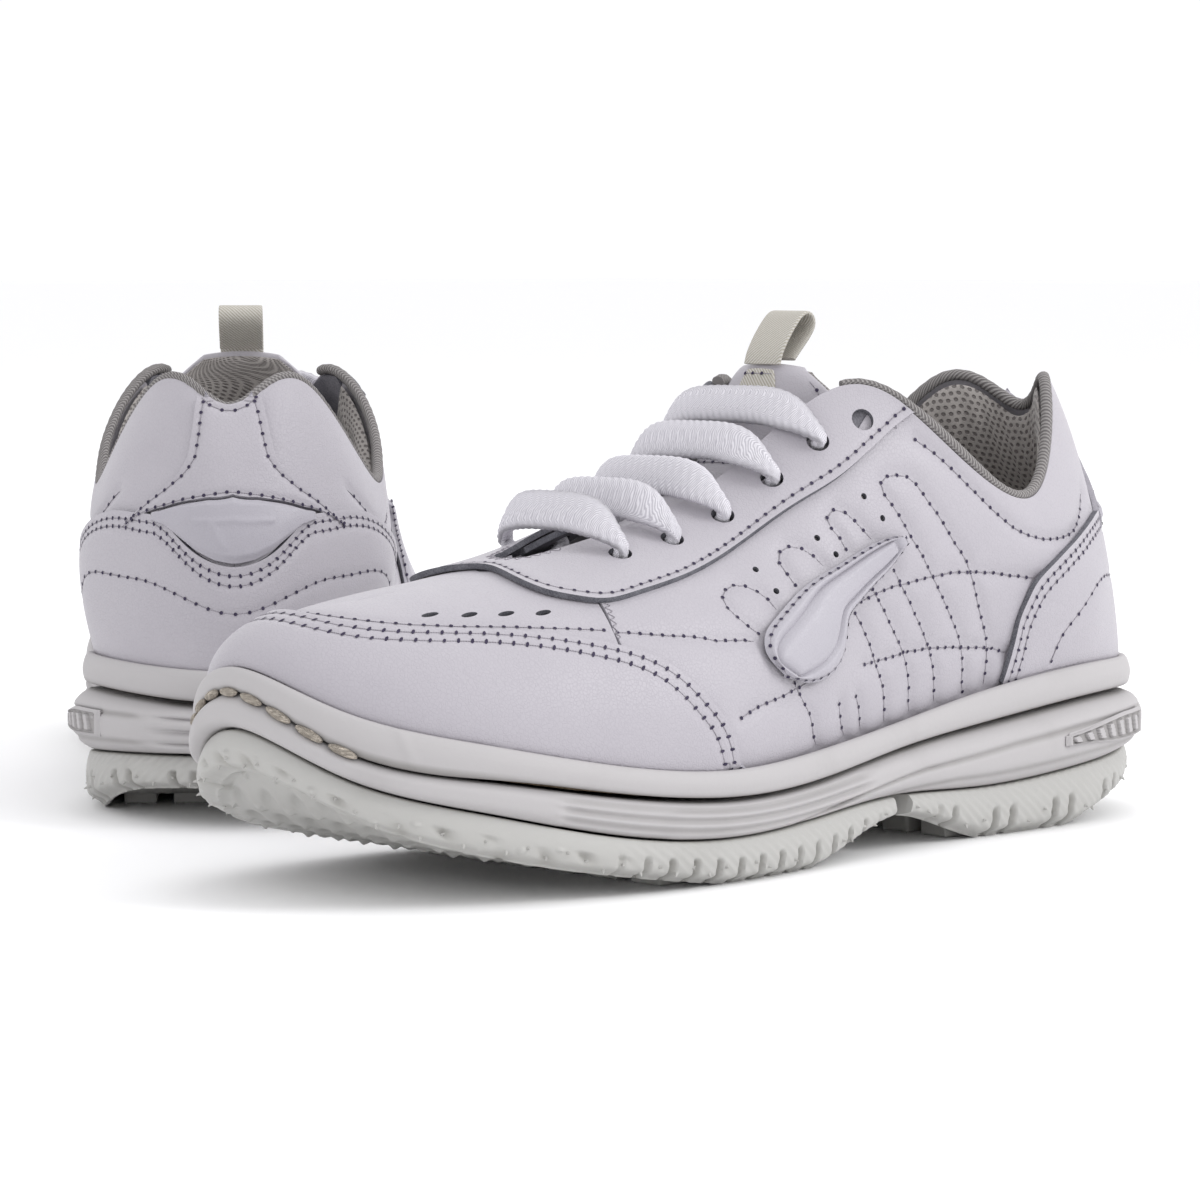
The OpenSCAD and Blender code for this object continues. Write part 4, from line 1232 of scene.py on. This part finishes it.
def laceRoute():
    # each entry: place, direction of its width, width and thickness
    lean = math.radians(lace["lean"])
    stay = np.array([0, math.cos(lean), math.sin(lean)])
    share = np.array(eyelets["share"])
    route = []

    def eyelet(row, side, h):
        s = np.array(side * eyelets["stations"][row])
        return ribPoint(s, share) + ribNormal(s, share) * h

    for row in range(lace["bars"]):
        side = 1 if row % 2 == 0 else -1
        a = eyelet(row, side, 3.7)
        b = eyelet(row, -side, 3.7)
        for h in (-2.6, 0.6, 3.4):
            route.append((eyelet(row, side, h), stay * side, 3.2, 3.0))
        for u in (0.05, 0.13, 0.24, 0.38, 0.5, 0.62, 0.76, 0.87, 0.95):
            out = abs(2 * u - 1)
            lift = lace["rise"] * (1 - (2 * u - 1) ** 4) - 2.2 * max(0, out - 0.86)
            place = a * (1 - u) + b * u + np.array([0, -lift / 2, lift * math.cos(math.radians(30))])
            wide = lace["width"] * (1 - 0.12 * (out > 0.7))
            size = (5.2, 3.0) if out > 0.86 else (wide, lace["thick"])
            route.append((place, stay * side, *size))
        for h in (3.4, 0.6, -2.6):
            route.append((eyelet(row, -side, h), stay * side, 3.2, 3.0))
        if row < lace["bars"] - 1:
            for u in (0.3, 0.7):
                s = -side * (eyelets["stations"][row] * (1 - u) + eyelets["stations"][row + 1] * u)
                route.append((onUpper(s, share, -3.4), ribNormal(np.array(s), share) * side, 1.8, 4.0))
    return route


def makeLace():
    route = laceRoute()
    centre = openSpline([r[0] for r in route])
    k = np.linspace(0, len(route) - 1, 4000)
    run = lengths(centre(k))
    k = np.interp(np.linspace(0, run[-1], int(run[-1] / 0.42)), run, k)
    p = centre(k)
    d = unit(np.gradient(p, axis=0))
    w = openSpline([r[1] for r in route])(k)
    w = unit(w - d * (w * d).sum(1, keepdims=True))
    v = np.cross(d, w)
    sizes = np.maximum(openSpline([(r[2], r[3]) for r in route])(k), 1.5) / 2
    turn = np.linspace(0, 2 * np.pi, 31)[:, None]
    x = np.sign(np.cos(turn)) * np.abs(np.cos(turn)) ** 0.75
    y = np.sign(np.sin(turn)) * np.abs(np.sin(turn)) ** 0.75
    # two columns of slanted knit ribs across the width
    column = np.abs(np.abs(x) - 0.5) * 2
    slope = (lengths(p)[None, :] / lace["pitch"] + column * 0.9) * 2 * np.pi
    ribs = lace["rib"] * np.sin(slope) * np.abs(np.sin(turn)) ** 0.3
    groove = -0.16 * np.exp(-(x / 0.1) ** 2) - 0.10 * np.exp(-((np.abs(x) - 0.5) / 0.07) ** 2)
    relief = ribs + groove * (np.abs(y) > 0.2)
    points = p[None] + w[None] * (x * sizes[:, 0])[..., None] + v[None] * (y * sizes[:, 1])[..., None]
    out = unit(w[None] * (x / sizes[:, 0])[..., None] + v[None] * (y / sizes[:, 1])[..., None])
    piece = closedTube("lace_knit", points + out * relief[..., None], "knit")
    putOnBoth(piece, nodes=("lace",))
    print("lace length, mm:", round(float(run[-1])))


# Sizes in mm. Teeth: (pitch, place, width) along the lower edge. Lugs: size, first place, steps and number.
sole = {"columns": 900, "ribs": 0.45, "hollow": 3.0}
treads = {
    "forefoot": {"from": -5.9, "to": 5.9, "middle": 0, "teeth": [(6.8, 0, 0.8)], "pins": 4.7,
                 "lug": (9, 9), "first": (-31, -50), "step": 13, "slip": 1, "across": 6},
    "heel": {"from": 6.1, "to": 13.9, "middle": 10, "teeth": [(21, 0, 0.95), (21, 6, 0.95)], "pins": 5.3,
             "lug": (8, 9), "first": (-23, 53), "step": 12, "slip": 0, "across": 5},
}


def window(s, low, high, soft=0.25):
    q = fromToe(s)
    return smooth(q, low - soft, low + soft) * (1 - smooth(q, high - soft, high + soft))


def grooveAlong(s, v, line):
    xs, ys = zip(*line)
    middle = np.interp(fromToe(s), xs, ys)
    return window(s, xs[0], xs[-1], 0.1) * np.exp(-((v - middle) / 0.05) ** 2)


def makeMidsole():
    s = np.linspace(0, 20, sole["columns"] + 1)[None, :]
    # rows lie closer together at the upper and lower edge
    v = np.interp(np.arange(36), [0, 3, 32, 35], [0, 0.06, 0.94, 1])[:, None]
    groove = heightAt["groove"](s) - 0.5
    pad = heightAt["padTop"](s) + 0.3
    push = -1.6 + (1.9 + heightAt["flare"](s)) * (1 - np.abs(2 * v - 1) ** 3.2)
    ribs = window(s, 2.55, 5.5, 0.12) * (0.5 - 0.5 * np.cos(2 * np.pi * 3.5 * np.clip(v - 0.05, 0, 0.86)))
    bulge = window(s, 9.45, 10, 0.18) * (np.abs(np.sin(np.pi * 4 * v)) ** 0.6 * 2.0 - 0.9)
    marks = 0.75 * grooveAlong(s, v, [(4.7, 0.96), (5.4, 0.72), (6.2, 0.5), (7.2, 0.36), (9.3, 0.28)])
    marks = marks + 0.6 * grooveAlong(s, v, [(5.9, 0.95), (6.6, 0.82), (7.4, 0.8), (9.3, 0.78)])
    step = 0.7 * smooth(fromToe(s), 2.5, 2.58) * window(s, 2.5, 3.4, 0.1)
    push = push - sole["ribs"] * ribs * 1.6 + bulge - marks - step * smooth(v, 0.2, 0.3)
    rows = edgePoint(s + 0 * v, push, groove * (1 - v) + pad * v)
    # painted shade: hollow darkens the rib valleys, the marked grooves and the top and bottom edges where the
    # midsole meets the rim and the tread
    hollow = np.clip(ribs * 0.45 + marks + smooth(0.05 - v, 0, 0.05) + smooth(v, 0.95, 1.0) * 0.8, 0, 1)
    first = edgePoint(s[0], 0 * s[0] - 4.0, groove[0] + 0.1)
    last = edgePoint(s[0], 0 * s[0] - 5.0, pad[0])
    piece = slab("midsole_foam", [first] + list(rows) + [last], "soleRubber")
    spreadHollow(piece, rows.reshape(-1, 3), hollow.ravel())
    rounded(piece, 60)
    putOnBoth(piece, nodes=("midsole",))


def spreadHollow(piece, places, values):
    # after welding, each point takes the painted shade value of the nearest place
    tree = KDTree(len(places))
    for k, place in enumerate(places):
        tree.insert(place * 0.001, k)
    tree.balance()
    found = []
    for v in piece.data.vertices:
        _, index, away = tree.find(v.co)
        found.append(float(values[index]) if away < 0.002 else 0.0)
    attribute = piece.data.attributes.new("hollow", "FLOAT", "POINT")
    attribute.data.foreach_set("value", np.asarray(found, np.float32))


def makeRim():
    s = np.linspace(0, 20, 561)[None, :]
    groove = heightAt["groove"](s)
    feather = heightAt["feather"](s)
    turn = np.linspace(0, 1, 23)[:, None]
    # section: down from the upper, round the rim, into the groove and back inside
    path = openSpline([(-6.0, 0.10), (-4.2, 0.72), (-3.3, 0.86), (-1.6, 0.97), (-0.35, 0.88), (0.35, 0.62),
                       (0.45, 0.42), (0.1, 0.2), (-0.7, 0.1), (-2.4, 0.09), (-4.4, 0.09), (-6.0, 0.10)])
    section = path(turn * 11)
    push = section[..., 0] + 0 * s
    share = section[..., 1] + 0 * s
    # at the toe the rim hangs lower and closes the groove to a slit
    bumper = 1 - smooth(fromToe(s), 1.6, 2.6)
    share = share - 0.10 * bumper * (1 - smooth(share, 0.1, 0.6))
    seam = np.mod(s + 1e-9, 20) - 1.45 - (share - 0.5) * -0.12
    ridge = window(s, 0, 2.4, 0.3) * 0.4 * np.exp(-(seam / 0.03) ** 2)
    points = edgePoint(s + 0 * turn, push + ridge * (share > 0.15), groove + (feather - groove) * share)
    piece = gridPiece("foxing_rim", points, "soleRubber", flips=False)
    weld(piece)
    faceOutwards(piece)
    rounded(piece, 50)
    # painted shade: the part of the rim that runs into the groove is darkened through the hollow attribute
    spreadHollow(piece, points.reshape(-1, 3), np.clip((0.22 - share) * 8, 0, 1).ravel())
    putOnBoth(piece, nodes=("foxing_strip",))


def comb(arc, pitch, place, width):
    return np.exp(-((np.mod(arc - place, pitch) - pitch / 2) / width) ** 4)


def toeRelief(x, y):
    # slanted hollows with a round stud beside each
    line = np.floor(y / 8.4)
    a = np.mod(x + 4.6 * line, 9.2) - 4.6
    b = np.mod(y, 8.4) - 4.2
    lens = np.exp(-((0.8 * a + 0.6 * b) / 1.35) ** 2 - ((0.8 * b - 0.6 * a) / 3.0) ** 2)
    stud = np.exp(-(((a - 3.1) ** 2 + (b - 2.6) ** 2) / 1.0) ** 2)
    return lens, stud


def makeTread(name, tread):
    # teeth along the lower edge, round studs at the toe and fine hatching behind
    low = tread["from"]
    high = tread["to"]
    s = np.linspace(low, high, int((high - low) * 80))[None, :]
    v = np.linspace(0, 1, 34)[:, None]
    top = heightAt["padTop"](s) - 0.2
    bottom = np.maximum(heightAt["tread"](s), 0.02)
    ring = edgePoint(s[0], 0 * s[0], bottom[0])
    arc = lengths(ring)[None, :]
    arc = arc - np.interp(tread["middle"], s[0], arc[0]) + 0 * v
    z = top * (1 - v) + bottom * v
    toe = window(s, -1, 3.1, 0.35)
    arch = window(s, 5.6, 6.5, 0.25)
    notch = np.max([comb(arc, *each) for each in tread["teeth"]], axis=0) * (1 - toe) * (1 - arch)
    notch = notch * smooth(v, 0.35, 0.55)
    lens, stud = toeRelief(arc, z * 1.3)
    lower = toe * smooth(v, 0.42, 0.55)
    hatch = 0.09 * np.sin((arc * 0.8 + z) * 2 * np.pi / 2.6) * (1 - toe)
    push = -1.4 + 1.2 * np.sin(np.pi * np.clip(v * 1.1, 0, 1)) ** 0.7 - 3.2 * smooth(v, 0.72, 1.0) ** 1.6
    push = push + (0.7 * stud - 1.3 * lens) * lower - 1.9 * notch + hatch
    z = z + 1.2 * notch * smooth(v, 0.6, 1.0)
    rows = edgePoint(s + 0 * v, push, z)
    # painted shade: hollow darkens the gaps between teeth, the strip under the midsole and the slanted
    # hollows at the toe
    hollow = np.clip(notch * 0.5 + smooth(0.06 - v, 0, 0.06) * 0.6 + 0.45 * lens * lower, 0, 1)
    first = edgePoint(s[0], 0 * s[0] - 4.0, top[0])
    # the tread is hollow under the foot and full under the raised toe
    lift = np.minimum(sole["hollow"], top[0] - bottom[0] - 1.5) * (1 - toe[0])
    last = [edgePoint(s[0], 0 * s[0] - 5.4, bottom[0] + 0.1)]
    last.append(edgePoint(s[0], 0 * s[0] - 7.0, bottom[0] + lift))
    under = np.array(capRows(last[-1], np.linspace(0.04, 1, 22)))
    lens, stud = toeRelief(under[..., 0], under[..., 1])
    under[..., 2] += (1.5 * lens - 0.9 * stud) * (1 - smooth(under[..., 1], -92, -80)) * toe
    points = np.array(capRows(first, (1.0, 0.9, 0.75, 0.5, 0.25)) + [first] + list(rows) + last + list(under))
    piece = gridPiece(name, points, "treadRubber", flips=False)
    weld(piece, 0.00002)
    capEnds(piece)
    rounded(piece, 60)
    spreadHollow(piece, rows.reshape(-1, 3), hollow.ravel())
    return piece, rows, arc


def makeLug(width, depth, x, y):
    deselect()
    bpy.ops.mesh.primitive_cube_add(size=1)
    lug = bpy.context.active_object
    lug.data.transform(Matrix.Diagonal((width * 0.001, depth * 0.001, 0.0052, 1)))
    lug.data.transform(Matrix.Translation((0, 0, 0.0026)))
    work(lug, "BEVEL", width=0.0007, segments=2, limit_method="ANGLE")
    edit(lug, select="DESELECT")
    for face in lug.data.polygons:
        face.select = face.normal.z < -0.9
    bpy.ops.object.mode_set(mode="EDIT")
    bpy.ops.mesh.inset(thickness=0.0016, depth=-0.0005)
    bpy.ops.object.mode_set(mode="OBJECT")
    lug.data.materials.append(finishOf["treadRubber"])
    lug.data.transform(Matrix.Translation((x * 0.001, y * 0.001, 0)))
    return lug


def makePins(rows, arc, spacing):
    # small moulded pins along the lower part of the wall
    deselect()
    bpy.ops.mesh.primitive_cone_add(vertices=7, radius1=0.0005, radius2=0.00012, depth=0.0012)
    pin = bpy.context.active_object
    pin.data.materials.append(finishOf["treadRubber"])
    made = []
    for k, place in enumerate(np.arange(arc[0, 4], arc[0, -4], spacing)):
        row = 18 + (k * 5) % 11
        j = int(np.interp(place, arc[0], np.arange(arc.shape[1])))
        p = rows[row, j] * 0.001
        n = unit(np.cross(rows[row, j + 1] - rows[row, j - 1], rows[row + 1, j] - rows[row - 1, j]))
        if np.dot(n[:2], rows[row, j, :2]) < 0:
            n = -n
        if p[2] < 0.003:
            continue
        copy = bpy.data.objects.new("pin", pin.data.copy())
        turn = Vector(n).to_track_quat("Z", "Y").to_matrix().to_4x4()
        copy.data.transform(Matrix.Translation(Vector(p) + Vector(n) * 0.0003) @ turn)
        bpy.context.scene.collection.objects.link(copy)
        made.append(copy)
    bpy.data.objects.remove(pin)
    return made


def makeOutsoles():
    for name, tread in treads.items():
        piece, rows, arc = makeTread("outsole_" + name + "_rubber", tread)
        parts = [piece]
        for row in range(3):
            for k in range(tread["across"]):
                x = tread["first"][0] + tread["slip"] * row + tread["step"] * k
                parts.append(makeLug(*tread["lug"], x, tread["first"][1] + row * 13))
        piece = joinAll(parts + makePins(rows, arc, tread["pins"]), piece.name)
        putOnBoth(piece, nodes=("outsole_" + name,))


def makeToeStitching():
    parts = []
    for k in range(9):
        s = -1 + 2 * k / 8 + np.array([-0.08, 0.08])
        a, b = edgePoint(s, np.full(2, 0.35), heightAt["groove"](s) - 0.1)
        deselect()
        bpy.ops.mesh.primitive_uv_sphere_add(segments=12, ring_count=10, radius=1)
        piece = bpy.context.active_object
        d = Vector(b - a)
        turn = d.to_track_quat("Z", "Y").to_matrix().to_4x4()
        size = Matrix.Diagonal((0.00095, 0.00095, d.length * 0.00066, 1))
        piece.data.transform(Matrix.Translation(Vector(a + b) * 0.0005) @ turn @ size)
        piece.data.materials.append(finishOf["cord"])
        parts.append(piece)
    piece = joinAll(parts, "toe_stitching_cord")
    rounded(piece, 60)
    putOnBoth(piece, nodes=("toe_stitching",))


def makePlugs():
    parts = []
    for low, high in ((7.7, 8.9), (11.1, 12.3)):
        s = np.linspace(low, high, 100)[None, :]
        v = np.linspace(-1, 1, 22)[:, None]
        u = (s - low) / (high - low)
        u = u if low > 10 else 1 - u
        taper = 0.35 + 0.65 * smooth(1 - u, 0.0, 0.7)
        pad = heightAt["padTop"](s)
        groove = heightAt["groove"](s)
        z = pad + (groove - pad) * (0.5 - v * 0.22 * taper)
        edge = np.minimum(1 - np.abs(v), np.minimum(u, 1 - u) * 6)
        bars = np.sin((u * 8.0 + v * 0.25) * 2 * np.pi) > 0.1
        bars = bars * smooth(edge, 0.32, 0.4) * (1 - smooth(np.abs(v), 0.55, 0.6))
        push = 3.2 + 0.9 * smooth(edge, 0.0, 0.18) - 0.7 * smooth(edge, 0.22, 0.3) + 0.75 * bars
        points = edgePoint(s + 0 * v, push, z)
        piece = gridPiece("plug" + str(low), points, "soleRubber")
        thicken(piece, 1.0, 0)
        # painted shade: the sunken field between the bars is darkened through the hollow attribute
        hollow = smooth(edge, 0.22, 0.3) * (1 - bars) * 0.8
        spreadHollow(piece, points.reshape(-1, 3), hollow.ravel())
        parts.append(piece)
    putOnBoth(joinAll(parts, "side_plug_plates"), nodes=("side_plugs",))


def makeStitches(name):
    # every stitch is one modelled thread and every needle hole one flat dark disc of painted shade, repeated
    deselect()
    bpy.ops.mesh.primitive_uv_sphere_add(segments=6, ring_count=5, radius=1)
    models = [bpy.context.active_object]
    bpy.ops.mesh.primitive_circle_add(vertices=7, radius=1, fill_type="TRIFAN")
    models.append(bpy.context.active_object)
    corners = [np.array([v.co for v in model.data.vertices]) for model in models]
    sides = [[tuple(p.vertices) for p in model.data.polygons] for model in models]
    for model in models:
        bpy.data.objects.remove(model)
    places = []
    for a, b, n, thick in sewn["thread"]:
        d = np.array(b - a)
        x = unit(d)
        up = unit(np.array(n) - x * np.dot(np.array(n), x))
        axes = (np.cross(up, x) * thick, up * thick, d / 2)
        places.append((0, axes, np.array(a + b) / 2 + up * thick * 0.35))
    for p, n, d, longer, shorter in sewn["hole"]:
        up = np.array(n)
        x = unit(np.array(d) - up * np.dot(np.array(d), up))
        axes = (x * longer * 0.001, np.cross(up, x) * shorter * 0.001, up * 0)
        places.append((1, axes, np.array(p) + up * 0.0002))
    points, faces, kinds = [], [], []
    base = 0
    for kind, axes, middle in places:
        points.append(corners[kind] @ np.array(axes) + middle)
        faces += [tuple(i + base for i in side) for side in sides[kind]]
        kinds += [kind] * len(sides[kind])
        base += len(corners[kind])
    mesh = bpy.data.meshes.new(name)
    mesh.from_pydata(np.concatenate(points).tolist(), [], faces)
    mesh.materials.append(finishOf["thread"])
    mesh.materials.append(finishOf["needleHole"])
    mesh.polygons.foreach_set("material_index", np.array(kinds, np.int32))
    mesh.uv_layers.new(name="UVMap")
    corner = np.zeros(len(mesh.loops), np.int32)
    mesh.loops.foreach_get("vertex_index", corner)
    where = np.concatenate(points)[corner][:, :2]
    mesh.uv_layers.active.data.foreach_set("uv", where.ravel())
    piece = bpy.data.objects.new(name, mesh)
    bpy.context.scene.collection.objects.link(piece)
    rounded(piece, 60)
    for kind in sewn.values():
        kind.clear()
    return piece


def dressHidden():
    # the layers inside the shoe stay the CAD solids
    for side in ("left", "right"):
        for node in ("insole_board", "heel_stiffener", "toe_puff"):
            mesh = frame["nodes"][side + "_" + node].data
            mesh.materials.clear()
            mesh.materials.append(finishOf["fibreBoard"])


def makeFloor():
    deselect()
    bpy.ops.mesh.primitive_plane_add(size=floor["span"], location=(0, 0, 0))
    ground = bpy.context.active_object
    ground.name = "studio_floor"
    start = newFinish("floorPaper", Roughness=0.9, Specular_IOR_Level=0.1)
    cloud = start.noise(start.solid, 3, 2)
    start.wear(Base_Color=(cloud * 0.2).tint(floor["colour"], (0.955, 0.955, 0.957, 1)))
    ground.data.materials.append(start.material)


makeCamera()
makeLights()
makeFloor()
finishOf = makeFinishes()
print("camera, lights and finishes made")

makeVamp()
makeToeCap()
makeQuarters()
print("vamp, toe cap and quarters made")
makeEyestay()
makeFacings()
makeHeelFoxing()
makeHeelStrap()
makeHeelBadge()
makeEmblems()
print("overlays made, shoe stitches:", len(sewn["thread"]))
putOnBoth(makeStitches("upper_stitches"))
makeTongue()
makeKeeper()
makeLoop()
putOnBoth(makeStitches("tongue_stitches"), "tongue_body")
print("tongue and loop made")
makeCollar()
makeBinding()
makeLinings()
makeSockliner()
print("collar and linings made")
makeLace()
makeMidsole()
makeRim()
makeOutsoles()
makeToeStitching()
makePlugs()
dressHidden()
print("lace and sole made")
